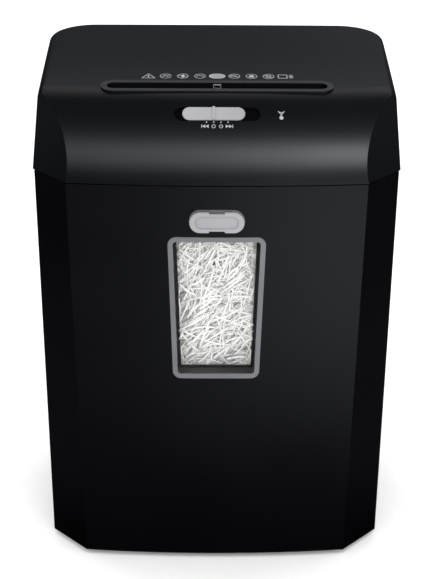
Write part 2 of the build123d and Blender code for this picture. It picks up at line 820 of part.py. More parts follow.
# ---------------------------------------------------------------- head: tray and board
board_x = -148.0
board_width = 36.0
board_length = 120.0
board_y = slot_y + 52.0
board_z = tray_top_z + 8.0
standoff_spots = [
    (board_x + sx * (board_width / 2 - 4.0), board_y + sy * (board_length / 2 - 5.0))
    for sx in (-1, 1) for sy in (-1, 1)
]
outlet_half_width = cut_half + 1.0
outlet_half_depth = 44.0
with BuildPart() as head_tray:
    add(deck(tray_z, tray_top_z))
    with BuildSketch(Plane.XY.offset(tray_top_z)):
        with Locations(*standoff_spots):
            Circle(3.0)
    extrude(amount=board_z - tray_top_z)
    with BuildSketch(Plane.XY.offset(tray_z)):
        with Locations((0, slot_y)):
            Rectangle(2 * outlet_half_width, 2 * outlet_half_depth)
        with Locations(*post_spots):
            Circle(1.85)
    extrude(amount=wall, mode=Mode.SUBTRACT)
finish(head_tray, "head_tray")

with BuildPart() as head_screws:
    with BuildSketch(Plane.XY.offset(tray_z - 2.0)):
        with Locations(*post_spots):
            Circle(3.5)
    extrude(amount=2.0)
    with BuildSketch(Plane.XY.offset(tray_z)):
        with Locations(*post_spots):
            Circle(1.5)
    extrude(amount=wall + 14.0)
finish(head_screws, "head_screws")

with BuildPart() as control_board:
    with BuildSketch(Plane.XY.offset(board_z)):
        with Locations((board_x, board_y)):
            Rectangle(board_width, board_length)
    extrude(amount=1.6)
finish(control_board, "control_board")

with BuildPart() as board_parts:
    with BuildSketch(Plane.XY.offset(board_z + 1.6)):
        with Locations((board_x - 6.0, board_y - 38.0), (board_x - 6.0, board_y - 18.0)):
            Rectangle(20.0, 16.0)
    extrude(amount=15.0)
    with BuildSketch(Plane.XY.offset(board_z + 1.6)):
        with Locations((board_x - 4.0, board_y + 8.0)):
            Circle(9.0)
    extrude(amount=24.0)
    with BuildSketch(Plane.XY.offset(board_z + 1.6)):
        with Locations((board_x + 3.0, board_y + 42.0)):
            Rectangle(24.0, 14.0)
    extrude(amount=12.0)
finish(board_parts, "board_parts")

with BuildPart() as cord_gland:
    with BuildSketch(Plane.XZ.offset(-(back_y - wall))):
        with Locations((gland_x, gland_z)):
            Circle(gland_radius + 3.0)
            Circle(3.6, mode=Mode.SUBTRACT)
    extrude(amount=2.5)
    with BuildSketch(Plane.XZ.offset(-back_y)):
        with Locations((gland_x, gland_z)):
            Circle(gland_radius)
            Circle(3.6, mode=Mode.SUBTRACT)
    extrude(amount=wall)
finish(cord_gland, "cord_gland")

# ---------------------------------------------------------------- cutters
bush_radius = 8.0
hex_radius = hex_across / math.sqrt(3)
shoulder = 1.0                # hex ends this far inside each frame plate
gear_seat_flat = 4.0          # the shaft's flat lies this far from its middle
seat_start = plane_one - 0.5


def shaft_profile(y, z, radius, flat=0.0, gap=0.0):
    """Round shaft section, with a flat on its top when flat is given."""
    with BuildSketch(Plane.YZ) as section:
        with Locations((y, z)):
            Circle(radius + gap)
            if flat:
                with Locations((0, flat + gap + radius)):
                    Rectangle(4 * radius, 2 * radius, mode=Mode.SUBTRACT)
    return section.sketch_local


def along_x(sketch, low, high):
    """A section in the YZ plane made solid between two places along X."""
    with BuildPart() as bar:
        with BuildSketch(Plane.YZ.offset(low)):
            add(sketch)
        extrude(amount=high - low)
    return bar.part


def hexagon(y, z, gap=0.0):
    """Section of the hexagonal cutter shaft or, with a gap, of a bore on it."""
    with BuildSketch(Plane.YZ) as section:
        with Locations((y, z)):
            RegularPolygon(hex_radius + gap, 6)
    return section.sketch_local


def cutter_shaft(y, right_end):
    """Hexagonal shaft with round ends that run in the frame plates' bushes."""
    with BuildPart() as shaft:
        add(along_x(hexagon(y, shaft_z), -plate_in + shoulder, plate_in - shoulder))
        add(along_x(shaft_profile(y, shaft_z, journal_radius), -plate_out - 4.0, seat_start))
        add(along_x(shaft_profile(y, shaft_z, journal_radius, gear_seat_flat),
                    seat_start, right_end))
    return shaft.part


front_shaft_end = plane_one + gear_width
rear_shaft_end = cover_x + wall

with BuildPart() as front_shaft:
    add(cutter_shaft(front_shaft_y, front_shaft_end))
finish(front_shaft, "front_shaft")

with BuildPart() as rear_shaft:
    add(cutter_shaft(rear_shaft_y, rear_shaft_end))
finish(rear_shaft, "rear_shaft")


def cutter(y, low, hub_low, hub_high):
    """One cutting disc with its hub; the disc starts at low along X."""
    with BuildPart() as disc:
        with BuildSketch(Plane.YZ.offset(low)):
            with Locations((y, shaft_z)):
                Circle(disc_radius)
                with PolarLocations(disc_radius, 18):
                    Rectangle(1.6, 0.8, mode=Mode.SUBTRACT)
                RegularPolygon(hex_radius + shaft_fit_gap, 6, mode=Mode.SUBTRACT)
        extrude(amount=disc_width)
        if hub_high > hub_low:
            with BuildSketch(Plane.YZ.offset(hub_low)):
                with Locations((y, shaft_z)):
                    Circle(hub_radius)
                    RegularPolygon(hex_radius + shaft_fit_gap, 6, mode=Mode.SUBTRACT)
            extrude(amount=hub_high - hub_low)
    return disc.part


stack_gap = 0.02
with BuildPart() as front_cutter_discs:
    for index in range(strips_per_shaft):
        low = -cut_half + index * pitch
        add(cutter(front_shaft_y, low, low + disc_width, low + pitch - stack_gap))
finish(front_cutter_discs, "front_cutter_discs")

with BuildPart() as rear_cutter_discs:
    for index in range(strips_per_shaft):
        low = -cut_half + strip_width + index * pitch
        add(cutter(rear_shaft_y, low, low + disc_width - pitch + stack_gap, low))
finish(rear_cutter_discs, "rear_cutter_discs")

comb_inner = hub_radius + 0.8
comb_outer = comb_inner + 6.0
comb_bar_gap = disc_radius + 1.5
comb_bar = 4.0
finger_width = 4.4


def stripper_comb(side, shaft_y, first_gap):
    """Comb whose fingers lie round the hubs between the discs and lift the strips off."""
    bar_near = shaft_y + side * comb_bar_gap
    bar_far = bar_near + side * comb_bar
    with BuildPart() as comb:
        with BuildSketch(Plane.YZ.offset(-plate_in + 0.3)):
            with Locations(((bar_near + bar_far) / 2, shaft_z)):
                Rectangle(comb_bar, 26.0)
        extrude(amount=2 * plate_in - 0.6)
        for index in range(strips_per_shaft - 1):
            with BuildSketch(Plane.YZ.offset(first_gap + index * pitch - finger_width / 2)):
                with Locations((shaft_y, shaft_z)):
                    Circle(comb_outer)
                    Circle(comb_inner, mode=Mode.SUBTRACT)
                with Locations((shaft_y - side * 2 * comb_outer, shaft_z)):
                    Rectangle(4 * comb_outer + 6.0, 4 * comb_outer, mode=Mode.SUBTRACT)
            extrude(amount=finger_width)
    return comb.part


with BuildPart() as front_stripper_comb:
    add(stripper_comb(-1, front_shaft_y, -cut_half + strip_width * 1.5 - 0.1))
finish(front_stripper_comb, "front_stripper_comb")

with BuildPart() as rear_stripper_comb:
    add(stripper_comb(1, rear_shaft_y, -cut_half + strip_width * 2.5 - 0.1))
finish(rear_stripper_comb, "rear_stripper_comb")

# ---------------------------------------------------------------- frame
rod_radius = 4.0
rod_spots = [
    (front_shaft_y - 22.0, tray_top_z + 11.0),
    (rear_shaft_y + 24.0, tray_top_z + 11.0),
    (rear_shaft_y + 28.0, shaft_z + 26.0),
]
bush_spots = [(front_shaft_y, shaft_z), (rear_shaft_y, shaft_z)]
pin_spots = [(first_y, first_z), (second_y, second_z)]
plate_front_y = front_shaft_y - 30.0
motor_screw_spots = [
    (motor_y + 22.0 * math.cos(math.radians(a)), motor_z + 22.0 * math.sin(math.radians(a)))
    for a in (90, 210, 330)
]


def plate_outline(rear, top_rise):
    """Side view of a frame plate that stands on the tray and stays under the cover."""
    with BuildSketch(Plane.YZ) as outline:
        Polygon(
            (plate_front_y, tray_top_z),
            (rear, tray_top_z),
            (rear, seam_z + top_rise),
            (slot_y, seam_z + 72.0),
            (front_shaft_y - 8.0, seam_z + 60.0),
            (plate_front_y, seam_z + 44.0),
            align=None,
        )
        with Locations(*bush_spots):
            Circle(bush_radius + shaft_fit_gap, mode=Mode.SUBTRACT)
        with Locations(*rod_spots):
            Circle(rod_radius + shaft_fit_gap, mode=Mode.SUBTRACT)
    return outline.sketch_local


with BuildPart() as left_frame_plate:
    add(along_x(plate_outline(rear_shaft_y + 36.0, 76.0), -plate_out, -plate_in))
finish(left_frame_plate, "left_frame_plate")

with BuildPart() as right_frame_plate:
    add(along_x(plate_outline(motor_y + motor_radius + 4.0, 84.0), plate_in, plate_out))
    with BuildSketch(Plane.YZ.offset(plate_in)):
        with Locations((motor_y, motor_z)):
            Circle(pin_radius + 3.0)
        with Locations(*motor_screw_spots):
            Circle(2.2)
        with Locations(*pin_spots):
            Circle(pin_radius + shaft_fit_gap)
    extrude(amount=frame_plate, mode=Mode.SUBTRACT)
finish(right_frame_plate, "right_frame_plate")

with BuildPart() as shaft_bushes:
    for side in (-1, 1):
        inner = side * plate_in
        for y, z in bush_spots:
            with BuildSketch(Plane.YZ.offset(min(inner, inner + side * frame_plate))):
                with Locations((y, z)):
                    Circle(bush_radius)
                    Circle(journal_radius + running_gap, mode=Mode.SUBTRACT)
            extrude(amount=frame_plate)
            outer = side * plate_out
            with BuildSketch(Plane.YZ.offset(min(outer, outer + side * 1.5))):
                with Locations((y, z)):
                    Circle(bush_radius + 2.0)
                    Circle(journal_radius + running_gap, mode=Mode.SUBTRACT)
            extrude(amount=1.5)
finish(shaft_bushes, "shaft_bushes")

nut_thick = 2.4
with BuildPart() as tie_rods:
    for y, z in rod_spots:
        add(along_x(shaft_profile(y, z, rod_radius), -plate_out - nut_thick, plate_out + nut_thick))
finish(tie_rods, "tie_rods")

with BuildPart() as tie_rod_nuts:
    for low in (-plate_out - nut_thick, plate_out):
        with BuildSketch(Plane.YZ.offset(low)):
            with Locations(*rod_spots):
                RegularPolygon(7.5, 6)
                Circle(rod_radius + shaft_fit_gap, mode=Mode.SUBTRACT)
        extrude(amount=nut_thick)
finish(tie_rod_nuts, "tie_rod_nuts")

# ---------------------------------------------------------------- gears
pressure = math.radians(25.0)
tooth_backlash = 0.22
tooth_top = 0.8               # shares of the module
tooth_bottom = 1.05


def gear_outline(teeth, module, first_tooth):
    """Points of a spur gear whose first tooth points at the given angle in degrees."""
    pitch_radius = teeth * module / 2
    base_radius = pitch_radius * math.cos(pressure)
    tip = pitch_radius + tooth_top * module
    root = pitch_radius - tooth_bottom * module
    half_tooth = (math.pi * module / 2 - tooth_backlash) / (2 * pitch_radius)
    roll = math.tan(pressure) - pressure

    def half_angle(radius):
        lean = math.acos(min(1.0, base_radius / radius))
        return half_tooth + roll - (math.tan(lean) - lean)

    flank = [root, max(root, base_radius), (max(root, base_radius) + tip) / 2, tip]
    flank = sorted(set(flank))
    points = []
    for index in range(teeth):
        middle = math.radians(first_tooth) + 2 * math.pi * index / teeth
        for radius in flank:
            turn = middle - half_angle(radius)
            points.append((radius * math.cos(turn), radius * math.sin(turn)))
        for radius in reversed(flank):
            turn = middle + half_angle(radius)
            points.append((radius * math.cos(turn), radius * math.sin(turn)))
    return points


def towards(y_from, z_from, y_to, z_to):
    """Angle in degrees of the line between two axes, seen along X."""
    return math.degrees(math.atan2(z_to - z_from, y_to - y_from))


def facing_gap(line_angle, teeth):
    """First tooth angle of the gear at the far end of the line, so a gap meets the tooth."""
    return line_angle + 180.0 + 180.0 / teeth


line_cutters = towards(rear_shaft_y, shaft_z, front_shaft_y, shaft_z)
line_drive = towards(rear_shaft_y, shaft_z, second_y, second_z)
line_second = towards(second_y, second_z, first_y, first_z)
line_first = towards(first_y, first_z, motor_y, motor_z)


def toothed(y, z, low, teeth, module, first_tooth, width=gear_width):
    """Solid spur gear without its bore, from low along X."""
    with BuildPart() as gear:
        with BuildSketch(Plane.YZ.offset(low)):
            with Locations((y, z)):
                Polygon(*gear_outline(teeth, module, first_tooth), align=None)
        extrude(amount=width)
    return gear.part


with BuildPart() as rear_cutter_gear:
    add(toothed(rear_shaft_y, shaft_z, plane_one, cutter_gear_teeth, cutter_gear_module,
                line_cutters))
    add(along_x(shaft_profile(rear_shaft_y, shaft_z, journal_radius, gear_seat_flat,
                              shaft_fit_gap), plane_one, plane_two), mode=Mode.SUBTRACT)
finish(rear_cutter_gear, "rear_cutter_gear")

with BuildPart() as front_cutter_gear:
    add(toothed(front_shaft_y, shaft_z, plane_one, cutter_gear_teeth, cutter_gear_module,
                facing_gap(line_cutters, cutter_gear_teeth)))
    add(along_x(shaft_profile(front_shaft_y, shaft_z, journal_radius, gear_seat_flat,
                              shaft_fit_gap), plane_one, plane_two), mode=Mode.SUBTRACT)
finish(front_cutter_gear, "front_cutter_gear")

with BuildPart() as cutter_drive_gear:
    add(toothed(rear_shaft_y, shaft_z, plane_three, drive_teeth, drive_module, line_drive))
    with BuildSketch(Plane.YZ.offset(plane_one + gear_width)):
        with Locations((rear_shaft_y, shaft_z)):
            Circle(9.0)
    extrude(amount=plane_three - plane_one - gear_width)
    add(along_x(shaft_profile(rear_shaft_y, shaft_z, journal_radius, gear_seat_flat,
                              shaft_fit_gap), plane_one, cover_x), mode=Mode.SUBTRACT)
finish(cutter_drive_gear, "cutter_drive_gear")

with BuildPart() as second_reduction_gear:
    add(toothed(second_y, second_z, plane_two, second_teeth, second_module,
                facing_gap(line_second + 180.0, second_teeth)))
    add(toothed(second_y, second_z, plane_two + gear_width, drive_pinion_teeth, drive_module,
                facing_gap(line_drive, drive_pinion_teeth), gear_width + gear_gap))
    with BuildSketch(Plane.YZ.offset(plane_two)):
        with Locations((second_y, second_z)):
            Circle(pin_radius + running_gap)
    extrude(amount=2 * gear_width + gear_gap, mode=Mode.SUBTRACT)
finish(second_reduction_gear, "second_reduction_gear")

with BuildPart() as first_reduction_gear:
    add(toothed(first_y, first_z, plane_one, first_teeth, first_module, line_first))
    add(toothed(first_y, first_z, plane_one + gear_width, second_pinion_teeth, second_module,
                line_second + 180.0, gear_width + gear_gap))
    with BuildSketch(Plane.YZ.offset(plane_one)):
        with Locations((first_y, first_z)):
            Circle(pin_radius + running_gap)
    extrude(amount=2 * gear_width + gear_gap, mode=Mode.SUBTRACT)
finish(first_reduction_gear, "first_reduction_gear")

with BuildPart() as gear_pins:
    for y, z in pin_spots:
        add(along_x(shaft_profile(y, z, pin_radius), plate_in, cover_x + wall))
finish(gear_pins, "gear_pins")

pillar_spots = [
    (rear_shaft_y - 27.0, seam_z + 66.0),
    (rear_shaft_y - 26.0, tray_top_z + 6.0),
    (motor_y + 16.0, seam_z + 78.0),
    (motor_y + 16.0, tray_top_z + 6.0),
]
with BuildPart() as gearbox_cover:
    with BuildSketch(Plane.YZ.offset(cover_x)):
        Polygon(
            (rear_shaft_y - 33.0, tray_top_z + 0.5),
            (motor_y + 22.0, tray_top_z + 0.5),
            (motor_y + 22.0, seam_z + 85.0),
            (rear_shaft_y - 6.0, seam_z + 80.0),
            (rear_shaft_y - 33.0, seam_z + 72.0),
            align=None,
        )
    extrude(amount=wall)
    with BuildSketch(Plane.YZ.offset(plate_out)):
        with Locations(*pillar_spots):
            Circle(4.5)
    extrude(amount=cover_x - plate_out)
    with BuildSketch(Plane.YZ.offset(cover_x)):
        with Locations((rear_shaft_y, shaft_z)):
            Circle(journal_radius + running_gap)
        with Locations(*pin_spots):
            Circle(pin_radius + shaft_fit_gap)
    extrude(amount=wall, mode=Mode.SUBTRACT)
finish(gearbox_cover, "gearbox_cover")

# ---------------------------------------------------------------- motor
can_wall = 1.6
bell_length = 20.0
can_end_x = plate_in - motor_length + bell_length
motor_end_x = plate_in - motor_length
motor_shaft_radius = 4.0


def motor_ring(low, high, outer, inner):
    """Round ring or disc on the motor's axis."""
    with BuildPart() as ring:
        with BuildSketch(Plane.YZ.offset(low)):
            with Locations((motor_y, motor_z)):
                Circle(outer)
                if inner:
                    Circle(inner, mode=Mode.SUBTRACT)
        extrude(amount=high - low)
    return ring.part


with BuildPart() as motor_can:
    add(motor_ring(can_end_x, plate_in, motor_radius, motor_radius - can_wall))
    add(motor_ring(plate_in - 4.0, plate_in, motor_radius, motor_shaft_radius + running_gap))
    with BuildSketch(Plane.YZ.offset(plate_in - 4.0)):
        with Locations((motor_y, motor_z)):
            with PolarLocations(25.0, 6):
                Circle(3.2)
    extrude(amount=4.0, mode=Mode.SUBTRACT)
finish(motor_can, "motor_can")

with BuildPart() as motor_end_bell:
    add(motor_ring(motor_end_x, can_end_x, motor_radius, motor_radius - 2.0))
    add(motor_ring(motor_end_x, motor_end_x + 3.0, motor_radius, motor_shaft_radius + running_gap))
    with BuildSketch(Plane.YZ.offset(motor_end_x)):
        with Locations((motor_y, motor_z)):
            with PolarLocations(21.0, 10):
                SlotOverall(16.0, 5.0)
    extrude(amount=3.0, mode=Mode.SUBTRACT)
finish(motor_end_bell, "motor_end_bell")

stator_in = 25.0
with BuildPart() as motor_stator:
    add(motor_ring(can_end_x + 18.0, plate_in - 20.0, motor_radius - can_wall, stator_in))
finish(motor_stator, "motor_stator")

with BuildPart() as motor_shaft:
    add(motor_ring(motor_end_x, plane_one + gear_width, motor_shaft_radius, 0))
finish(motor_shaft, "motor_shaft")

with BuildPart() as motor_armature:
    add(motor_ring(can_end_x + 16.0, plate_in - 18.0, stator_in - 1.0,
                   motor_shaft_radius + shaft_fit_gap))
finish(motor_armature, "motor_armature")

with BuildPart() as cooling_fan:
    add(motor_ring(motor_end_x + 5.0, motor_end_x + 7.0, motor_radius - 5.0,
                   motor_shaft_radius + shaft_fit_gap))
    add(motor_ring(motor_end_x + 7.0, motor_end_x + 17.0, 9.0,
                   motor_shaft_radius + shaft_fit_gap))
    with BuildSketch(Plane.YZ.offset(motor_end_x + 7.0)):
        with Locations((motor_y, motor_z)):
            with PolarLocations(19.0, 8):
                Rectangle(21.0, 1.6)
    extrude(amount=8.0)
finish(cooling_fan, "cooling_fan")

with BuildPart() as motor_pinion:
    add(toothed(motor_y, motor_z, plane_one, motor_teeth, first_module,
                facing_gap(line_first, motor_teeth)))
    add(motor_ring(plane_one, plane_two, motor_shaft_radius + shaft_fit_gap, 0),
        mode=Mode.SUBTRACT)
finish(motor_pinion, "motor_pinion")

with BuildPart() as motor_screws:
    with BuildSketch(Plane.YZ.offset(plate_out)):
        with Locations(*motor_screw_spots):
            Circle(3.6)
    extrude(amount=2.0)
    with BuildSketch(Plane.YZ.offset(plate_in)):
        with Locations(*motor_screw_spots):
            Circle(2.0)
    extrude(amount=frame_plate)
finish(motor_screws, "motor_screws")

# ---------------------------------------------------------------- safety switch
interlock_x = -120.0
interlock_height = 14.0
interlock_z = frame_top_z - wall - interlock_height / 2
interlock_front_y = front_y + wall + 6.0
plunger_radius = 2.0
plunger_tip_y = front_y - front_bow * (1 - (interlock_x / chord_half_top) ** 2) + wall + 0.6

with BuildPart() as interlock_switch:
    with Locations((interlock_x, interlock_front_y + 9.0, interlock_z)):
        Box(20.0, 18.0, interlock_height)
    with Locations(Location((interlock_x, interlock_front_y, interlock_z), (90, 0, 0))):
        Cylinder(plunger_radius + running_gap, 28.0, mode=Mode.SUBTRACT)
finish(interlock_switch, "interlock_switch")

with BuildPart() as interlock_plunger:
    with BuildSketch(Plane.XZ.offset(-(interlock_front_y + 12.0))):
        with Locations((interlock_x, interlock_z)):
            Circle(plunger_radius)
    extrude(amount=interlock_front_y + 12.0 - plunger_tip_y)
finish(interlock_plunger, "interlock_plunger")
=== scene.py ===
# %% [markdown]
# # A deskside paper shredder
# The finished design comes in as a fixed frame: every CAD node already sits at its real place and
# size, in metres, with the front towards -Y. This lesson gives those nodes real finishes and adds
# what CAD leaves out: printed symbols and the shredded paper behind the window.

# %% Load the frame
import math
import random

import bmesh
import bpy
from mathutils import Matrix, Vector
from mathutils.bvhtree import BVHTree


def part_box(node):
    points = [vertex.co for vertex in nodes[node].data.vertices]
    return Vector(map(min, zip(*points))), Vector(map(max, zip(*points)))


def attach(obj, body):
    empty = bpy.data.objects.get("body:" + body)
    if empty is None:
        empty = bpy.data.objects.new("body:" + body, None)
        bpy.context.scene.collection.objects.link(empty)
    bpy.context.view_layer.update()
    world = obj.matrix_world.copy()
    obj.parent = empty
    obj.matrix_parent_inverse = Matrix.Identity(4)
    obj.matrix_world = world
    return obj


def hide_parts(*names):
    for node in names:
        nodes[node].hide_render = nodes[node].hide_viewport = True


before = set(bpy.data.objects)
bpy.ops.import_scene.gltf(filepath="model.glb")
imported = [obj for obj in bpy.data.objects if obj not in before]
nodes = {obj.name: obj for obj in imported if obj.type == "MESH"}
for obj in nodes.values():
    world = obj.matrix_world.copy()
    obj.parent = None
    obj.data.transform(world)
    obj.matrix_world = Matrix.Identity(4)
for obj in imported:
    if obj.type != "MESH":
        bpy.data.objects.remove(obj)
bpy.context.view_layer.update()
MM = 0.001
random.seed(35)

# %% [markdown]
# ## The viewpoint
# A product picture of a floor-standing machine is taken from a standing person's eye, with a long
# lens. The camera is placed from the bin front, and its aim is built from three angles. No shift is
# needed, because the picture is centred on the lens.

# %% Camera
bin_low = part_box("bin_front")[0]
FOCAL = 80.8
AIM_DOWN = math.radians(25.0)
AIM_SIDE = math.radians(-0.15)
ROLL = math.radians(0.41)
ORBIT = math.radians(-0.7)
EYE_ASIDE = 0.007
EYE_HEIGHT = 0.930
EYE_AHEAD = 1.2496


def camera_matrix(spot, down, side, roll):
    """World matrix of a camera at spot that looks along +Y, turned aside and tipped down."""
    level = Vector((math.sin(side), math.cos(side), 0.0))
    ahead = level * math.cos(down) - Vector((0, 0, math.sin(down)))
    right = Vector((math.cos(side), -math.sin(side), 0.0))
    above = right.cross(ahead)
    right_rolled = right * math.cos(roll) + above * math.sin(roll)
    above_rolled = above * math.cos(roll) - right * math.sin(roll)
    turn = Matrix((right_rolled, above_rolled, -ahead)).transposed()
    return Matrix.Translation(spot) @ turn.to_4x4()


camera_data = bpy.data.cameras.new("camera")
camera_data.lens = FOCAL
camera_data.sensor_width = 36.0
camera = bpy.data.objects.new("camera", camera_data)
bpy.context.scene.collection.objects.link(camera)
camera_spot = Vector((EYE_ASIDE, bin_low.y - EYE_AHEAD, EYE_HEIGHT))
front_middle = Matrix.Translation((0, bin_low.y, 0))
orbit = front_middle @ Matrix.Rotation(ORBIT, 4, "Z") @ front_middle.inverted()
camera.matrix_world = orbit @ camera_matrix(camera_spot, AIM_DOWN, AIM_SIDE, ROLL)
bpy.context.scene.camera = camera
print("camera at", [round(v, 3) for v in camera_spot])

# %% [markdown]
# ## Small tools for finishes
# Colours are written as sRGB hex, as a paint chart gives them, and one function turns them to the
# linear values that Blender works in. One more function adds a shader node with its settings and
# links, so that each material below reads as a list of its layers.

# %% Colour and node helpers


def linear(hex_colour):
    """sRGB hex to a linear RGBA tuple."""
    channels = [int(hex_colour[i:i + 2], 16) / 255 for i in (1, 3, 5)]
    return tuple(
        c / 12.92 if c <= 0.04045 else ((c + 0.055) / 1.055) ** 2.4 for c in channels) + (1.0,)


def node(tree, kind, links=None, **settings):
    """Add a shader node; settings name its properties or sockets, links feed its sockets."""
    made = tree.nodes.new(kind)
    for name, value in settings.items():
        label = name.replace("_", " ")
        if label in made.inputs:
            made.inputs[label].default_value = value
        else:
            setattr(made, name, value)
    for name, source in (links or {}).items():
        target = made.inputs[int(name[1:])] if name[0] == "#" else made.inputs[name]
        tree.links.new(source, target)
    return made


def new_material(name):
    """Empty node material with its output node."""
    material = bpy.data.materials.new(name)
    material.use_nodes = True
    tree = material.node_tree
    tree.nodes.clear()
    return material, tree, tree.nodes.new("ShaderNodeOutputMaterial")


def ramp(tree, source, stops, interpolation="LINEAR"):
    """Colour ramp over a 0-1 value; stops are (place, RGBA)."""
    made = node(tree, "ShaderNodeValToRGB", {"Fac": source})
    made.color_ramp.interpolation = interpolation
    elements = made.color_ramp.elements
    for element, (place, colour) in zip(elements, (stops[0], stops[-1])):
        element.position = place
        element.color = colour
    for place, colour in stops[1:-1]:
        elements.new(place).color = colour
    return made


def grey(value):
    """Neutral grey of a linear value."""
    return (value, value, value, 1.0)


def cool(value):
    """Grey of the studio's slightly blue daylight."""
    return (value * 0.93, value * 0.98, value * 1.08, 1.0)


def shade(colour, factor):
    """The same colour made darker or lighter."""
    return tuple(min(1.0, c * factor) for c in colour[:3]) + (1.0,)


print("helpers ready")

# %% [markdown]
# ## Moulded plastics
# Almost all of the outside is ABS, moulded in steel tools whose faces are spark-eroded. That leaves
# a fine, even grain that breaks up reflections, with slight flow marks on large faces and edges
# polished by hands and cloths. One recipe serves every plastic piece: the grain is bump from a
# noise whose scale comes from the grain's size, the flow marks are a wide noise in the roughness.
# Shade in recesses is painted: the recipe can turn its colour near black behind a depth along Y,
# for the walls inside the window's rim and the handle's neck, or on upright walls, for the slot's
# walls. Where a recess has to read as a dark hole, its plastic is rougher and its IOR lower than
# real ABS.

# %% Moulded ABS


def moulded(name, colour, roughness, grain_mm=0.7, grain_depth=0.03, flow_mm=90.0,
            dust=0.03, ior=1.53, painted_shade_behind=None, painted_shade_on_walls=False):
    """Injection-moulded plastic with spark-eroded grain, flow marks and a trace of dust.

    Painted shade: the colour can turn near black behind a depth along Y, or on upright walls.
    """
    material, tree, output = new_material(name)
    base = linear(colour)
    place = node(tree, "ShaderNodeTexCoord")
    flow = node(tree, "ShaderNodeTexNoise", {"Vector": place.outputs["Object"]},
                Scale=1 / (flow_mm * MM), Detail=3.0)
    tint = ramp(tree, flow.outputs["Fac"], [(0.3, shade(base, 0.88)), (0.7, shade(base, 1.12))])
    specks = node(tree, "ShaderNodeTexNoise", {"Vector": place.outputs["Object"]},
                  Scale=1 / (2.5 * MM), Detail=4.0, Roughness=0.7)
    speck_mask = ramp(tree, specks.outputs["Fac"], [(0.66, grey(0.0)), (0.74, grey(dust))])
    colour_mix = node(tree, "ShaderNodeMix", data_type="RGBA")
    tree.links.new(speck_mask.outputs["Color"], colour_mix.inputs["Factor"])
    tree.links.new(tint.outputs["Color"], colour_mix.inputs[6])
    colour_mix.inputs[7].default_value = linear("#8A8A88")
    shown = colour_mix.outputs[2]
    if painted_shade_behind is not None or painted_shade_on_walls:
        facing = node(tree, "ShaderNodeNewGeometry")
        source = facing.outputs["Normal"] if painted_shade_on_walls else place.outputs["Object"]
        split = node(tree, "ShaderNodeSeparateXYZ", {"Vector": source})
        unshaded_mask = node(tree, "ShaderNodeMath", {"#0": split.outputs["Z" if painted_shade_on_walls else "Y"]},
                       operation="GREATER_THAN" if painted_shade_on_walls else "LESS_THAN")
        unshaded_mask.inputs[1].default_value = 0.45 if painted_shade_on_walls else painted_shade_behind
        painted_shade_mix = node(tree, "ShaderNodeMix", data_type="RGBA")
        tree.links.new(unshaded_mask.outputs["Value"], painted_shade_mix.inputs["Factor"])
        # painted shade: the near-black colour that recess walls get in place of their finish
        painted_shade_mix.inputs[6].default_value = linear("#050507")
        tree.links.new(shown, painted_shade_mix.inputs[7])
        shown = painted_shade_mix.outputs[2]
    rough = ramp(tree, flow.outputs["Fac"],
                 [(0.25, grey(roughness * 0.9)), (0.75, grey(roughness * 1.1))])
    grain = node(tree, "ShaderNodeTexNoise", {"Vector": place.outputs["Object"]},
                 Scale=1 / (grain_mm * MM), Detail=2.0, Roughness=0.6)
    bump = node(tree, "ShaderNodeBump", {"Height": grain.outputs["Fac"]},
                Strength=0.5, Distance=grain_depth * MM)
    skin = node(tree, "ShaderNodeBsdfPrincipled",
                {"Base Color": shown, "Roughness": rough.outputs["Color"],
                 "Normal": bump.outputs["Normal"]}, IOR=ior)
    tree.links.new(skin.outputs["BSDF"], output.inputs["Surface"])
    return material


cabinet_abs = moulded("moulded_black_abs_cabinet", "#030306", 0.30, dust=0.01)
head_abs = moulded("moulded_black_abs_head", "#050609", 0.30, grain_mm=0.9, dust=0.015)
inner_abs = moulded("moulded_black_abs_inside", "#060607", 0.6, grain_mm=0.8)
recess_abs = moulded("moulded_black_abs_recess", "#010102", 0.7, dust=0.0, ior=1.25)
# painted light and shade: the slot's upright walls are drawn near black as their shade, and the
# charcoal of the upward faces is partly the moulding's colour and partly a painted highlight on its
# lip
bezel_abs = moulded("moulded_charcoal_abs_bezel", "#26272A", 0.38, painted_shade_on_walls=True)
grip_abs = moulded("moulded_grey_abs_grip", "#949498", 0.36, dust=0.0)
rim_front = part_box("window_frame")[0].y
# painted shade: the rim's walls deeper than 1.9 mm behind its front, and the handle base's neck,
# are drawn near black as the shade inside those gaps
window_ring_abs = moulded("grey_abs_rim_with_painted_shade_behind", "#68696D", 0.32, dust=0.0,
                          painted_shade_behind=rim_front + 1.9 * MM)
comb_nylon = moulded("moulded_black_nylon", "#1C1C1F", 0.5)
gear_nylon = moulded("moulded_natural_nylon", "#D8D2C2", 0.42, dust=0.05)
rubber = moulded("moulded_black_rubber", "#131313", 0.75, grain_mm=0.5, grain_depth=0.06)
lens_tinted = moulded("moulded_tinted_acrylic", "#0E0406", 0.2, grain_depth=0.0, dust=0.0)
print("plastics", 11)

# %% [markdown]
# ## Metals
# The frame plates are zinc-plated sheet, the cutters are hardened and ground, the motor can is
# painted. Ground and turned faces carry fine lines: a noise stretched along one direction gives
# them, at the spacing of the wheel's grit.

# %% Steel, bronze, copper, paint
LINE_STRETCH = 14.0
LINES_ALONG_X = (1.0, LINE_STRETCH, LINE_STRETCH)
LINES_ALONG_Y = (LINE_STRETCH, 1.0, LINE_STRETCH)


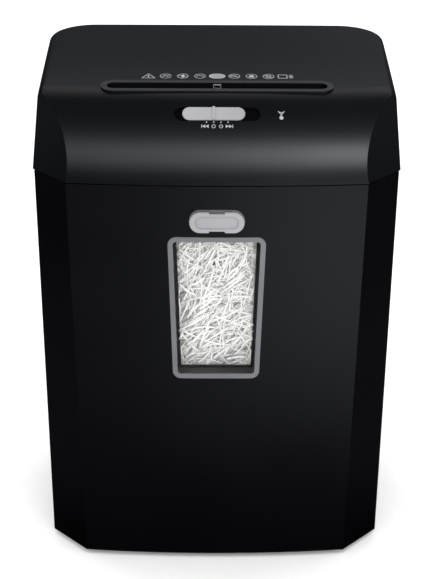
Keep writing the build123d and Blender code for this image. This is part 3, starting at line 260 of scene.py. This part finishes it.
def ground_metal(name, colour, roughness, line_mm=0.4, stretch=LINES_ALONG_X):
    """Metal with fine parallel machining lines and faint stains."""
    material, tree, output = new_material(name)
    place = node(tree, "ShaderNodeTexCoord")
    turned = node(tree, "ShaderNodeMapping", {"Vector": place.outputs["Object"]})
    turned.inputs["Scale"].default_value = stretch
    lines = node(tree, "ShaderNodeTexNoise", {"Vector": turned.outputs["Vector"]},
                 Scale=1 / (line_mm * MM * LINE_STRETCH), Detail=3.0)
    stain = node(tree, "ShaderNodeTexNoise", {"Vector": place.outputs["Object"]},
                 Scale=1 / (18 * MM), Detail=4.0)
    base = linear(colour)
    tint = ramp(tree, stain.outputs["Fac"], [(0.3, shade(base, 0.78)), (0.7, shade(base, 1.1))])
    rough = ramp(tree, lines.outputs["Fac"],
                 [(0.3, grey(roughness * 0.75)), (0.7, grey(roughness * 1.3))])
    bump = node(tree, "ShaderNodeBump", {"Height": lines.outputs["Fac"]},
                Strength=0.3, Distance=0.02 * MM)
    skin = node(tree, "ShaderNodeBsdfPrincipled",
                {"Base Color": tint.outputs["Color"], "Roughness": rough.outputs["Color"],
                 "Normal": bump.outputs["Normal"]}, Metallic=1.0)
    tree.links.new(skin.outputs["BSDF"], output.inputs["Surface"])
    return material


cutter_steel = ground_metal("ground_hardened_steel", "#A9ABAF", 0.30, line_mm=0.3)
zinc_plate = ground_metal("zinc_plated_steel_sheet", "#B8BABD", 0.38, stretch=LINES_ALONG_Y)
gear_steel = ground_metal("sintered_steel_gear", "#77797D", 0.46)
bronze = ground_metal("sintered_bronze", "#9A6B3A", 0.4)
copper = ground_metal("varnished_copper_winding", "#A4562A", 0.35, line_mm=0.6)
lamination = ground_metal("stacked_lamination_steel", "#6B6C70", 0.5, line_mm=0.5)
motor_paint = moulded("enamelled_steel_can", "#202125", 0.3, grain_mm=1.6, grain_depth=0.04)
board_resin = moulded("solder_masked_glass_epoxy", "#174A29", 0.35, dust=0.02)
print("metals 6, enamel and board resin")

# %% [markdown]
# ## Window sheet and paper
# The window is a thin clear PETG sheet. It is shown as a faint reflection over what lies behind
# it, because light has to reach the paper through it. Office paper is nearly white and matte; its
# strips are given painted light, a faint even glow of their own colour.

# %% Clear sheet and office paper


def clear_sheet(name):
    """Thin clear plastic sheet: almost all see-through, with a slightly uneven gloss."""
    material, tree, output = new_material(name)
    place = node(tree, "ShaderNodeTexCoord")
    haze = node(tree, "ShaderNodeTexNoise", {"Vector": place.outputs["Object"]},
                Scale=1 / (12 * MM), Detail=5.0)
    rough = ramp(tree, haze.outputs["Fac"], [(0.4, grey(0.05)), (0.8, grey(0.16))])
    skin = node(tree, "ShaderNodeBsdfPrincipled", {"Roughness": rough.outputs["Color"]},
                IOR=1.57, Alpha=0.03)
    skin.inputs["Base Color"].default_value = linear("#8C8E90")
    tree.links.new(skin.outputs["BSDF"], output.inputs["Surface"])
    return material


def office_paper(name, colour, painted_glow):
    """Uncoated office paper: fibre mottling in colour and bump, and a painted glow: even emission
    of its own colour.
    """
    material, tree, output = new_material(name)
    place = node(tree, "ShaderNodeTexCoord")
    fibre = node(tree, "ShaderNodeTexNoise", {"Vector": place.outputs["Object"]},
                 Scale=1 / (1.2 * MM), Detail=3.0)
    patch = node(tree, "ShaderNodeTexNoise", {"Vector": place.outputs["Object"]},
                 Scale=1 / (14 * MM), Detail=2.0)
    base = linear(colour)
    tint = ramp(tree, patch.outputs["Fac"],
                [(0.3, shade(base, 0.82)), (0.55, base), (0.75, shade(base, 1.05))])
    bump = node(tree, "ShaderNodeBump", {"Height": fibre.outputs["Fac"]},
                Strength=0.4, Distance=0.05 * MM)
    skin = node(tree, "ShaderNodeBsdfPrincipled",
                {"Base Color": tint.outputs["Color"], "Normal": bump.outputs["Normal"]},
                Roughness=0.85, IOR=1.47)
    skin.inputs["Emission Color"].default_value = base
    skin.inputs["Emission Strength"].default_value = painted_glow
    tree.links.new(skin.outputs["BSDF"], output.inputs["Surface"])
    return material


window_sheet = clear_sheet("clear_petg_sheet")
# painted light: the white and printed paper glow faintly, though paper is no lamp
paper_white = office_paper("office_paper_white", "#EAEAE8", 0.08)
paper_grey = office_paper("office_paper_printed", "#D2D2D2", 0.05)
paper_dark = office_paper("office_paper_shadowed", "#3A3A3C", 0.0)
ink_white = moulded("pad_printed_white_ink", "#9C9EA2", 0.5, grain_mm=0.3, dust=0.0)
print("sheet and paper ready")

# %% [markdown]
# ## Which piece is made of what
# Each CAD node gets its finish by name, so that taking the machine apart shows real materials.

# %% Assign finishes to the CAD nodes
finishes = {
    cabinet_abs: ["left_side_panel", "right_side_panel", "rear_panel", "bin_front"],
    head_abs: ["head_top_cover"],
    inner_abs: ["base_tray", "top_frame", "bin_guide_rails", "bin_tub", "head_tray",
                "slide_switch_body", "sensor_switch", "interlock_switch", "interlock_plunger",
                "cord_gland", "board_parts"],
    recess_abs: ["switch_track", "throat_guide_front", "throat_guide_rear"],
    bezel_abs: ["slot_bezel"],
    grip_abs: ["bin_handle", "mode_slider", "sensor_lever"],
    window_ring_abs: ["window_frame", "handle_base"],
    comb_nylon: ["front_stripper_comb", "rear_stripper_comb", "gearbox_cover", "cooling_fan"],
    gear_nylon: ["first_reduction_gear"],
    rubber: ["rubber_feet"],
    lens_tinted: ["status_light_lens"],
    cutter_steel: ["front_shaft", "rear_shaft", "front_cutter_discs", "rear_cutter_discs",
                   "motor_shaft"],
    zinc_plate: ["left_frame_plate", "right_frame_plate", "tie_rods", "tie_rod_nuts", "gear_pins",
                 "panel_screws", "head_screws", "handle_screws", "bin_front_screws",
                 "motor_screws"],
    gear_steel: ["second_reduction_gear", "cutter_drive_gear", "rear_cutter_gear",
                 "front_cutter_gear", "motor_pinion"],
    bronze: ["shaft_bushes"],
    copper: ["motor_armature"],
    lamination: ["motor_stator"],
    motor_paint: ["motor_can", "motor_end_bell"],
    board_resin: ["control_board"],
    window_sheet: ["window_pane"],
    paper_white: ["shredded_paper"],
}
for finish, names in finishes.items():
    for name in names:
        for slot in nodes[name].material_slots:
            slot.material = finish
print("finished", sum(len(names) for names in finishes.values()), "of", len(nodes))

# %% [markdown]
# ## Shredded paper
# Strip-cut paper falls as long narrow ribbons that bend, twist and lie across each other. Each
# ribbon is a thin closed strip along a wandering line. Those behind the window matter most, so
# most of them lie there, nearly flat against the sheet, and more lie on top of the heap, where
# the bin is open. They are drawn narrower than the cutters' 5.8 mm, because strips that lie on edge
# look so. A rumpled dark core fills the middle, so that a gap shows shadow and not the tub's floor.

# %% Ribbon maker
paper_low, paper_high = [Vector(corner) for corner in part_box("shredded_paper")]
RIBBON_WIDTH = 4.0 * MM
PAPER_THICK = 0.12 * MM
CORNER_CUT = 34 * MM
HEAP_SKIN = 22 * MM


def ribbon(mesh, start, heading, length, plane_normal, curl, width=RIBBON_WIDTH, steps=12):
    """Add one closed paper strip to the mesh: it wanders in its plane and twists a little."""
    spot = Vector(start)
    ahead = Vector(heading).normalized()
    normal = Vector(plane_normal).normalized()
    bend = random.uniform(-curl, curl)
    sway = random.uniform(-0.25, 0.25)
    twist = random.uniform(-0.35, 0.35)
    rings = []
    for _ in range(steps + 1):
        side = normal.cross(ahead).normalized()
        rings.append([
            mesh.verts.new(spot + side * (sx * width / 2) + normal * (sn * PAPER_THICK / 2))
            for sx, sn in ((-1, -1), (1, -1), (1, 1), (-1, 1))
        ])
        ahead = (Matrix.Rotation(bend / steps, 3, normal)
                 @ Matrix.Rotation(sway / steps, 3, side) @ ahead).normalized()
        normal = (Matrix.Rotation(twist / steps, 3, ahead) @ normal).normalized()
        spot = spot + ahead * (length / steps)
        bend += random.uniform(-0.5, 0.5) * curl * 0.5
    for ring, after in zip(rings, rings[1:]):
        for k in range(4):
            mesh.faces.new((ring[k], ring[(k + 1) % 4], after[(k + 1) % 4], after[k]))
    mesh.faces.new(reversed(rings[0]))
    mesh.faces.new(rings[-1])


def object_from(mesh, name, finishes_used, smooth=True):
    """Turn a bmesh into a named object with its materials, all its faces looking out."""
    bmesh.ops.recalc_face_normals(mesh, faces=mesh.faces)
    data = bpy.data.meshes.new(name)
    mesh.to_mesh(data)
    mesh.free()
    made = bpy.data.objects.new(name, data)
    bpy.context.scene.collection.objects.link(made)
    for finish in finishes_used:
        data.materials.append(finish)
    if smooth:
        for face in data.polygons:
            face.use_smooth = True
    return made


def folded(value, low, high):
    """Turn back a value that has run past a limit, as a strip does at a wall."""
    if value < low:
        value = 2 * low - value
    if value > high:
        value = 2 * high - value
    return min(max(value, low), high)


def keep_inside(mesh, low, high, bevel=0.0):
    """Fold back what strays outside the bin: a box whose corners are cut at 45 degrees."""
    middle = (low + high) / 2
    half = (high - low) / 2
    for vert in mesh.verts:
        for axis in range(3):
            vert.co[axis] = folded(vert.co[axis], low[axis], high[axis])
        away = vert.co - middle
        over = abs(away.x) - half.x + abs(away.y) - half.y + bevel
        if bevel and over > 0:
            vert.co.x -= math.copysign(over / 2, away.x)
            vert.co.y -= math.copysign(over / 2, away.y)


print("paper room", [round(side, 3) for side in paper_high - paper_low])

# %% Ribbons behind the window
pane_low, pane_high = [Vector(corner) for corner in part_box("window_pane")]
near_y = paper_low.y + 0.5 * MM
WINDOW_RIBBONS = 1100
DIAGONAL_SHARE = 0.65
window_layers = []


def lie():
    """Angle of a strip behind the window: most lean up to the right, as the heap settled."""
    if random.random() < DIAGONAL_SHARE:
        return random.gauss(0.8, 0.4)
    return random.uniform(0, math.pi)


def tilted(amount):
    """Normal of a strip that lies nearly flat against the window."""
    return (random.uniform(-amount, amount), -1.0, random.uniform(-amount, amount))


for share, finish in ((0.8, paper_white), (0.2, paper_grey)):
    heap = bmesh.new()
    for _ in range(int(WINDOW_RIBBONS * share)):
        depth = random.random() ** 1.3 * HEAP_SKIN
        lean = lie()
        start = (
            random.uniform(pane_low.x - 20 * MM, pane_high.x + 20 * MM),
            near_y + depth,
            random.uniform(pane_low.z - 25 * MM, pane_high.z - 12 * MM),
        )
        heading = (math.cos(lean), random.uniform(-0.15, 0.15), math.sin(lean))
        ribbon(heap, start, heading, random.uniform(25, 80) * MM, tilted(0.5), 0.9,
               width=random.choice((1.4, 1.8, 2.4, 3.4)) * MM)
    keep_inside(heap, Vector((paper_low.x, near_y, paper_low.z)), paper_high, CORNER_CUT)
    window_layers.append(object_from(heap, f"window_shreds_{len(window_layers)}", [finish]))
print("window ribbons", WINDOW_RIBBONS)

# %% Ribbons in the tub's opening
FRONT_RIBBONS = 260
opening_low = Vector((pane_low.x + 7 * MM, pane_high.y + 0.6 * MM, pane_low.z + 4 * MM))
opening_high = Vector((pane_high.x - 7 * MM, near_y + 2 * MM, pane_high.z - 6 * MM))
heap = bmesh.new()
for _ in range(FRONT_RIBBONS):
    lean = lie()
    start = [random.uniform(opening_low[k], opening_high[k]) for k in range(3)]
    heading = (math.cos(lean), random.uniform(-0.08, 0.08), math.sin(lean))
    ribbon(heap, start, heading, random.uniform(20, 50) * MM, tilted(0.5), 0.9,
           width=random.choice((1.4, 1.8, 2.4)) * MM)
keep_inside(heap, opening_low, opening_high)
window_layers.append(object_from(heap, "window_shreds_front", [paper_white]))
print("ribbons close to the pane", FRONT_RIBBONS)

# %% Ribbons on top of the heap, and the core
TOP_RIBBONS = 700
top_mesh = bmesh.new()
for _ in range(TOP_RIBBONS):
    lean = random.uniform(0, 2 * math.pi)
    start = (
        random.uniform(paper_low.x, paper_high.x),
        random.uniform(paper_low.y, paper_high.y),
        paper_high.z - random.random() * HEAP_SKIN,
    )
    heading = (math.cos(lean), math.sin(lean), random.uniform(-0.25, 0.2))
    ribbon(top_mesh, start, heading, random.uniform(60, 150) * MM,
           (random.uniform(-0.4, 0.4), random.uniform(-0.4, 0.4), 1.0), 1.4)
keep_inside(top_mesh, paper_low, paper_high, CORNER_CUT)
top_shreds = object_from(top_mesh, "heap_top_shreds", [paper_white])

core_mesh = bmesh.new()
bmesh.ops.create_grid(core_mesh, x_segments=60, y_segments=40, size=0.5)
core_low = Vector((paper_low.x, near_y + HEAP_SKIN, paper_low.z))
core_high = Vector((paper_high.x, paper_high.y, paper_high.z - 16 * MM))
for vert in core_mesh.verts:
    wave = math.sin(vert.co.x * 41) * math.cos(vert.co.y * 37) + random.uniform(-0.6, 0.6)
    vert.co = Vector((
        core_low.x + (vert.co.x + 0.5) * (core_high.x - core_low.x),
        core_low.y + (vert.co.y + 0.5) * (core_high.y - core_low.y),
        core_high.z - 5 * MM + wave * 3.5 * MM,
    ))
skirt = bmesh.ops.extrude_edge_only(
    core_mesh, edges=[edge for edge in core_mesh.edges if edge.is_boundary])
for made in skirt["geom"]:
    if isinstance(made, bmesh.types.BMVert):
        made.co.z = core_low.z
bmesh.ops.contextual_create(
    core_mesh, geom=[edge for edge in core_mesh.edges if edge.is_boundary])
heap_core = object_from(core_mesh, "heap_core", [paper_dark])
for piece in window_layers + [top_shreds, heap_core]:
    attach(piece, "bin")
    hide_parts("shredded_paper")
print("top ribbons", TOP_RIBBONS)


# %% [markdown]
# ## Printed symbols
# Small white symbols say what the shredder takes and what each place of the slider does. They are
# pad-printed: a silicone pad lays a film of ink on the curved panel. Here each symbol is a set of
# thin slabs, drawn flat in millimetres and dropped onto the head along the panel's own normal. The
# signs are plain generic ones. Geometry keeps them in the mesh, so they need no image.

# %% Dropping flat shapes on the head
head_mesh = nodes["head_top_cover"].data
head_skin = BVHTree.FromPolygons(
    [vert.co for vert in head_mesh.vertices], [face.vertices for face in head_mesh.polygons])
INK_LIFT = 0.12 * MM
INK_SINK = 0.15 * MM


class Print:
    """A place on the head with its own flat axes, where slabs of ink are laid."""

    def __init__(self, mesh, x, y):
        self.mesh = mesh
        self.spot, self.normal, _, _ = head_skin.ray_cast(Vector((x, y, 1.0)), Vector((0, 0, -1)))
        self.right = Vector((1, 0, 0))
        self.up = self.normal.cross(self.right).normalized()

    def slab(self, outline):
        """Closed thin slab over a flat outline of (u, v) in millimetres."""
        top, bottom = [], []
        for u, v in outline:
            above = self.spot + self.right * u * MM + self.up * v * MM + self.normal * 6 * MM
            hit = head_skin.ray_cast(above, -self.normal)[0]
            top.append(self.mesh.verts.new(hit + self.normal * INK_LIFT))
            bottom.append(self.mesh.verts.new(hit - self.normal * INK_SINK))
        self.mesh.faces.new(top)
        self.mesh.faces.new(list(reversed(bottom)))
        for k in range(len(outline)):
            n = (k + 1) % len(outline)
            self.mesh.faces.new((top[n], top[k], bottom[k], bottom[n]))

    def line(self, points, width, closed=False):
        """Stroke of even width along points, one slab for each straight run."""
        ends = points[1:] + points[:1] if closed else points[1:]
        for (u0, v0), (u1, v1) in zip(points, ends):
            length = math.hypot(u1 - u0, v1 - v0)
            du, dv = (v0 - v1) / length * width / 2, (u1 - u0) / length * width / 2
            self.slab([(u0 - du, v0 - dv), (u1 - du, v1 - dv),
                       (u1 + du, v1 + dv), (u0 + du, v0 + dv)])

    def ring(self, radius, width, centre=(0, 0), stretch=1.0, start=0, sweep=360):
        """Ring or part of one, as short slabs; stretch makes it an oval."""
        steps = max(6, int(28 * sweep / 360))
        for k in range(steps):
            a, b = (math.radians(start + sweep * (k + j) / steps) for j in (0, 1))
            self.slab([
                (centre[0] + stretch * r * math.cos(t), centre[1] + r * math.sin(t))
                for r, t in ((radius - width, a), (radius, a), (radius, b), (radius - width, b))
            ])

    def disc(self, radius, centre=(0, 0), stretch=1.0):
        """Filled disc or oval, with 24 sides."""
        self.slab([
            (centre[0] + stretch * radius * math.cos(math.radians(15 * k)),
             centre[1] + radius * math.sin(math.radians(15 * k))) for k in range(24)
        ])


print("head faces", len(head_mesh.polygons))

# %% Signs beside the paper slot
slot_low, slot_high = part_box("slot_bezel")
signs_y = (slot_low.y + slot_high.y) / 2 + 25 * MM
SIGN_PITCH = 18.2
RING = 6.0
STROKE = 0.6


def warning_sign(ink):
    ink.line([(-7, -5), (7, -5), (0, 6)], 0.75, closed=True)
    ink.line([(0, -3.4), (0, 2.4)], 1.2)


def clip_sign(ink):
    ink.ring(RING, STROKE)
    ink.line([(-3.4, -2.6), (-1.0, 3.0), (1.2, -1.4), (3.6, 2.8)], 0.8)


def card_sign(ink):
    ink.ring(RING, STROKE)
    ink.slab([(-1.5, -3.4), (1.3, -3.8), (1.9, 3.2), (-0.9, 3.8)])
    ink.line([(-4.2, 1.4), (4.2, -1.4)], 0.8)


def staple_sign(ink):
    ink.ring(RING, STROKE)
    ink.line([(-3.6, -1.2), (-2.2, 2.2), (2.4, 1.0), (3.6, -1.8)], 0.7)


def strip_sign(ink):
    ink.ring(6.4, 0.8, stretch=1.35)
    for v in (-4.2, -2.8, -1.4, 0.0, 1.4, 2.8, 4.2):
        half = 1.35 * math.sqrt(5.9**2 - v**2)
        ink.line([(-half, v), (half, v)], 0.75)


def loop_sign(ink):
    ink.ring(RING, STROKE)
    ink.ring(2.3, 0.7, centre=(-1.2, 0.6), stretch=1.3)
    ink.line([(1.4, -0.6), (4.0, -2.6)], 0.9)


def bag_sign(ink):
    ink.ring(RING, STROKE)
    ink.slab([(-3.2, -2.6), (3.2, -2.6), (2.2, 1.4), (0.6, 3.2), (-0.8, 3.2), (-2.2, 1.4)])


def sheet_sign(ink):
    ink.ring(RING, STROKE)
    ink.line([(-2.6, -2.2), (1.2, -2.8), (2.4, 2.2), (-1.6, 2.8)], 0.8, closed=True)
    ink.line([(-4.2, 2.6), (4.0, -3.0)], 0.8)


def page_sign(ink):
    ink.line([(-8, -4.4), (1.4, -4.4), (1.4, 4.4), (-8, 4.4)], 0.8, closed=True)
    ink.ring(4.4, 0.8, centre=(5.6, 0), stretch=0.5)
    ink.disc(1.5, centre=(5.6, 0), stretch=0.6)


signs = [warning_sign, clip_sign, card_sign, staple_sign, strip_sign, loop_sign, bag_sign,
         sheet_sign, page_sign]
print("signs", len(signs))

# %% Print the signs and the slider's marks
ink_mesh = bmesh.new()
for index, sign in enumerate(signs):
    sign(Print(ink_mesh, (index - (len(signs) - 1) / 2) * SIGN_PITCH * MM, signs_y))

slider_low, slider_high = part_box("mode_slider")
slider_y = (slider_low.y + slider_high.y) / 2
SLIDER_STEP = 7.3
marks_y = slider_y - 8.4 * MM
for place in (-1.5, -0.5, 0.5, 1.5):
    Print(ink_mesh, place * SLIDER_STEP * MM, marks_y).disc(0.75, centre=(0, 2.1))
reverse = Print(ink_mesh, -12.2 * MM, marks_y)
forward = Print(ink_mesh, 12.0 * MM, marks_y)
for ink, way in ((reverse, -1), (forward, 1)):
    for u in (-3.4, 0.0):
        ink.slab([(way * (u + 3.2), -2.4), (way * u, -0.5), (way * u, -4.3)][::way])
    ink.line([(way * 3.7, -0.5), (way * 3.7, -4.3)], 0.7)
Print(ink_mesh, -3.8 * MM, marks_y).ring(2.1, 0.6, centre=(0, -2.4))
power = Print(ink_mesh, 3.8 * MM, marks_y)
power.ring(2.1, 0.6, centre=(0, -2.4), start=120, sweep=300)
power.line([(0, -2.4), (0, 0.1)], 0.6)
heat = Print(ink_mesh, 65.5 * MM, slider_y)
heat.line([(-3.2, 4.6), (0, 0.4), (3.2, 4.6)], 0.9)
heat.line([(-2.2, 3.2), (2.2, 3.2)], 0.7)
heat.line([(0, 0.4), (0, -2.0)], 1.2)
heat.disc(2.1, centre=(0, -3.2))
symbols = object_from(ink_mesh, "printed_symbols", [ink_white], smooth=False)
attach(symbols, "housing")
print("ink faces", len(symbols.data.polygons))

# %% [markdown]
# ## Paper sensor's window
# In the middle of the slot a small light frame marks where the machine feels the paper. On the
# real one it is a pale moulding that clips into the slot's back wall. It is built as four thin
# bars, laid on that wall, whose place is found by looking for it from inside the slot.

# %% Sensor window
bezel_mesh = nodes["slot_bezel"].data
bezel_skin = BVHTree.FromPolygons(
    [vert.co for vert in bezel_mesh.vertices], [face.vertices for face in bezel_mesh.polygons])
mouth_y = (slot_low.y + slot_high.y) / 2
WINDOW_WIDE = 7.6
WINDOW_TALL = 4.6


def back_wall(depth):
    """Place on the slot's back wall at a depth below the bezel's highest line."""
    start = Vector((0, mouth_y, slot_high.z - depth * MM))
    return bezel_skin.ray_cast(start, Vector((0, 1, 0)))[0]


wall_top, wall_low = back_wall(2.5), back_wall(4.5)
wall_up = (wall_top - wall_low).normalized()
wall_out = Vector((1, 0, 0)).cross(wall_up)
rim_mesh = bmesh.new()
for u, v, wide, tall in (
    (0, -0.6, WINDOW_WIDE, 1.2), (0, -WINDOW_TALL, WINDOW_WIDE, 0.45),
    (-WINDOW_WIDE / 2, -WINDOW_TALL / 2, 0.5, WINDOW_TALL),
    (WINDOW_WIDE / 2, -WINDOW_TALL / 2, 0.5, WINDOW_TALL),
):
    middle = wall_top + Vector((u, 0, 0)) * MM + wall_up * v * MM
    axes = Matrix((Vector((1, 0, 0)), wall_out, wall_up)).transposed().to_4x4()
    size = Matrix.Diagonal((wide * MM, 0.6 * MM, tall * MM, 1.0))
    bmesh.ops.create_cube(rim_mesh, matrix=Matrix.Translation(middle) @ axes @ size)
sensor_window = object_from(rim_mesh, "sensor_window", [grip_abs], smooth=False)
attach(sensor_window, "housing")
print("slot wall at", [round(v, 4) for v in wall_top], [round(v, 4) for v in wall_low])

# %% [markdown]
# ## Studio surround, softboxes and floor
# A product of black plastic is lit by what it mirrors, so the studio is drawn for its gloss: a
# broad bright wall of light in front from the floor line up to about forty degrees, brightest a
# little to the right, with dark sides, a dim ceiling and a dim wall behind. Matt surfaces get one
# even white light, and the camera sees plain white. A world shader does all three, by the kind of
# ray that asks. The floor is matt white card to the eye, and gives the gloss a soft sheen.

# %% Studio surround
MATT_LIGHT = 1.6
FRONT_WALL = 2.9
world = bpy.data.worlds.new("studio")
bpy.context.scene.world = world
world.use_nodes = True
world.cycles.sampling_method = "NONE"
sky = world.node_tree
sky.nodes.clear()
ray = node(sky, "ShaderNodeLightPath")
aim = node(sky, "ShaderNodeTexCoord")
split = node(sky, "ShaderNodeSeparateXYZ", {"Vector": aim.outputs["Generated"]})
front_band = ramp(sky, split.outputs["Z"], [
    (0.0, cool(0.20)), (0.08, cool(0.45)), (0.28, cool(1.0)), (0.48, cool(1.05)),
    (0.62, cool(0.5)), (0.74, cool(0.12)), (1.0, cool(0.045)),
], "EASE")
back_band = ramp(sky, split.outputs["Z"], [
    (0.0, cool(0.046)), (0.3, cool(0.052)), (0.62, cool(0.056)), (0.8, cool(0.044)),
    (1.0, cool(0.03)),
], "EASE")
behind = node(sky, "ShaderNodeMapRange", {"Value": split.outputs["Y"]})
behind.inputs["From Min"].default_value = -0.25
behind.inputs["From Max"].default_value = 0.25
across = node(sky, "ShaderNodeMapRange", {"Value": split.outputs["X"]})
across.inputs["From Min"].default_value = -1.0
rightward = ramp(sky, across.outputs["Result"], [
    (0.0, grey(0.05)), (0.12, grey(0.01)), (0.36, grey(0.42)), (0.46, grey(0.6)), (0.5, grey(0.6)),
    (0.6, grey(1.05)), (0.7, grey(0.5)), (0.88, grey(0.01)), (1.0, grey(0.05)),
], "EASE")
walls = node(sky, "ShaderNodeMix", data_type="RGBA")
sky.links.new(behind.outputs["Result"], walls.inputs["Factor"])
sky.links.new(front_band.outputs["Color"], walls.inputs[6])
sky.links.new(back_band.outputs["Color"], walls.inputs[7])
strength = node(sky, "ShaderNodeMath", {"#0": rightward.outputs["Color"]}, operation="MULTIPLY")
strength.inputs[1].default_value = FRONT_WALL
studio = node(sky, "ShaderNodeBackground",
              {"Color": walls.outputs[2], "Strength": strength.outputs["Value"]})
even = node(sky, "ShaderNodeBackground", Strength=MATT_LIGHT, Color=grey(1.0))
plain = node(sky, "ShaderNodeBackground", Strength=1.0, Color=grey(1.0))
lit = node(sky, "ShaderNodeMixShader",
           {"Fac": ray.outputs["Is Glossy Ray"], "#1": even.outputs["Background"],
            "#2": studio.outputs["Background"]})
seen = node(sky, "ShaderNodeMixShader",
            {"Fac": ray.outputs["Is Camera Ray"], "#1": lit.outputs["Shader"],
             "#2": plain.outputs["Background"]})
node(sky, "ShaderNodeOutputWorld", {"Surface": seen.outputs["Shader"]})
print("surround ready")

# %% Softboxes


def softbox(name, spot, target, size, power):
    """Rectangular area light aimed at a point."""
    data = bpy.data.lights.new(name, "AREA")
    data.shape = "RECTANGLE"
    data.size, data.size_y = size
    data.energy = power
    lamp = bpy.data.objects.new(name, data)
    bpy.context.scene.collection.objects.link(lamp)
    lamp.location = spot
    lamp.rotation_euler = (Vector(target) - Vector(spot)).to_track_quat("-Z", "Y").to_euler()
    return lamp


softbox("front_right_softbox", (0.75, -1.9, 1.15), (0.1, 0, 0.45), (0.7, 0.9), 5)
softbox("back_top_softbox", (0.0, 1.2, 1.9), (0, 0, 0.5), (2.0, 0.8), 2)
print("lamps 2")

# %% Floor
floor_mesh = bmesh.new()
bmesh.ops.create_grid(floor_mesh, x_segments=1, y_segments=1, size=8.0)
floor_card, floor_tree, floor_output = new_material("matt_white_card")
floor_card.cycles.emission_sampling = "NONE"
floor_ray = node(floor_tree, "ShaderNodeLightPath")
floor_place = node(floor_tree, "ShaderNodeTexCoord")
floor_fibre = node(floor_tree, "ShaderNodeTexNoise", {"Vector": floor_place.outputs["Object"]},
                   Scale=1 / (25 * MM), Detail=3.0)
floor_tint = ramp(floor_tree, floor_fibre.outputs["Fac"], [(0.3, grey(0.89)), (0.7, grey(0.91))])
floor_skin = node(floor_tree, "ShaderNodeBsdfDiffuse", {"Color": floor_tint.outputs["Color"]})
floor_split = node(floor_tree, "ShaderNodeSeparateXYZ", {"Vector": floor_place.outputs["Object"]})
ahead = node(floor_tree, "ShaderNodeMapRange", {"Value": floor_split.outputs["Y"]})
ahead.inputs["From Min"].default_value = -0.18
ahead.inputs["From Max"].default_value = -2.58
front_sheen = ramp(floor_tree, ahead.outputs["Result"], [
    (0.0, cool(0.0)), (0.06, cool(0.01)), (0.15, cool(0.22)), (0.24, cool(0.36)),
    (0.50, cool(0.40)), (0.75, cool(0.18)), (1.0, cool(0.12)),
])
aside = node(floor_tree, "ShaderNodeMapRange", {"Value": floor_split.outputs["X"]})
aside.inputs["From Min"].default_value = -0.28
aside.inputs["From Max"].default_value = 0.28
aside.inputs["To Min"].default_value = 0.12
aside.inputs["To Max"].default_value = 1.55
front_part = node(floor_tree, "ShaderNodeMath",
                  {"#0": front_sheen.outputs["Color"], "#1": aside.outputs["Result"]},
                  operation="MULTIPLY")
beside = node(floor_tree, "ShaderNodeMath", {"#0": floor_split.outputs["X"]}, operation="ABSOLUTE")
side_sheen = ramp(floor_tree, beside.outputs["Value"], [
    (0.2, grey(0.0)), (0.35, grey(0.03)), (0.8, grey(0.03)), (1.0, grey(0.01)),
])
back_sheen = ramp(floor_tree, floor_split.outputs["Y"], [
    (0.55, grey(0.0)), (0.75, grey(0.08)), (1.0, grey(0.14)),
])
rear_part = node(floor_tree, "ShaderNodeMath",
                 {"#0": side_sheen.outputs["Color"], "#1": back_sheen.outputs["Color"]},
                 operation="ADD")
all_parts = node(floor_tree, "ShaderNodeMath",
                 {"#0": front_part.outputs["Value"], "#1": rear_part.outputs["Value"]},
                 operation="ADD")
mirrored = node(floor_tree, "ShaderNodeEmission", {"Strength": all_parts.outputs["Value"]},
                Color=cool(1.0))
floor_seen = node(floor_tree, "ShaderNodeMixShader",
                  {"Fac": floor_ray.outputs["Is Glossy Ray"], "#1": floor_skin.outputs["BSDF"],
                   "#2": mirrored.outputs["Emission"]})
floor_tree.links.new(floor_seen.outputs["Shader"], floor_output.inputs["Surface"])
floor = object_from(floor_mesh, "floor", [floor_card], smooth=False)
bpy.context.scene.view_settings.view_transform = "Standard"
print("floor ready")
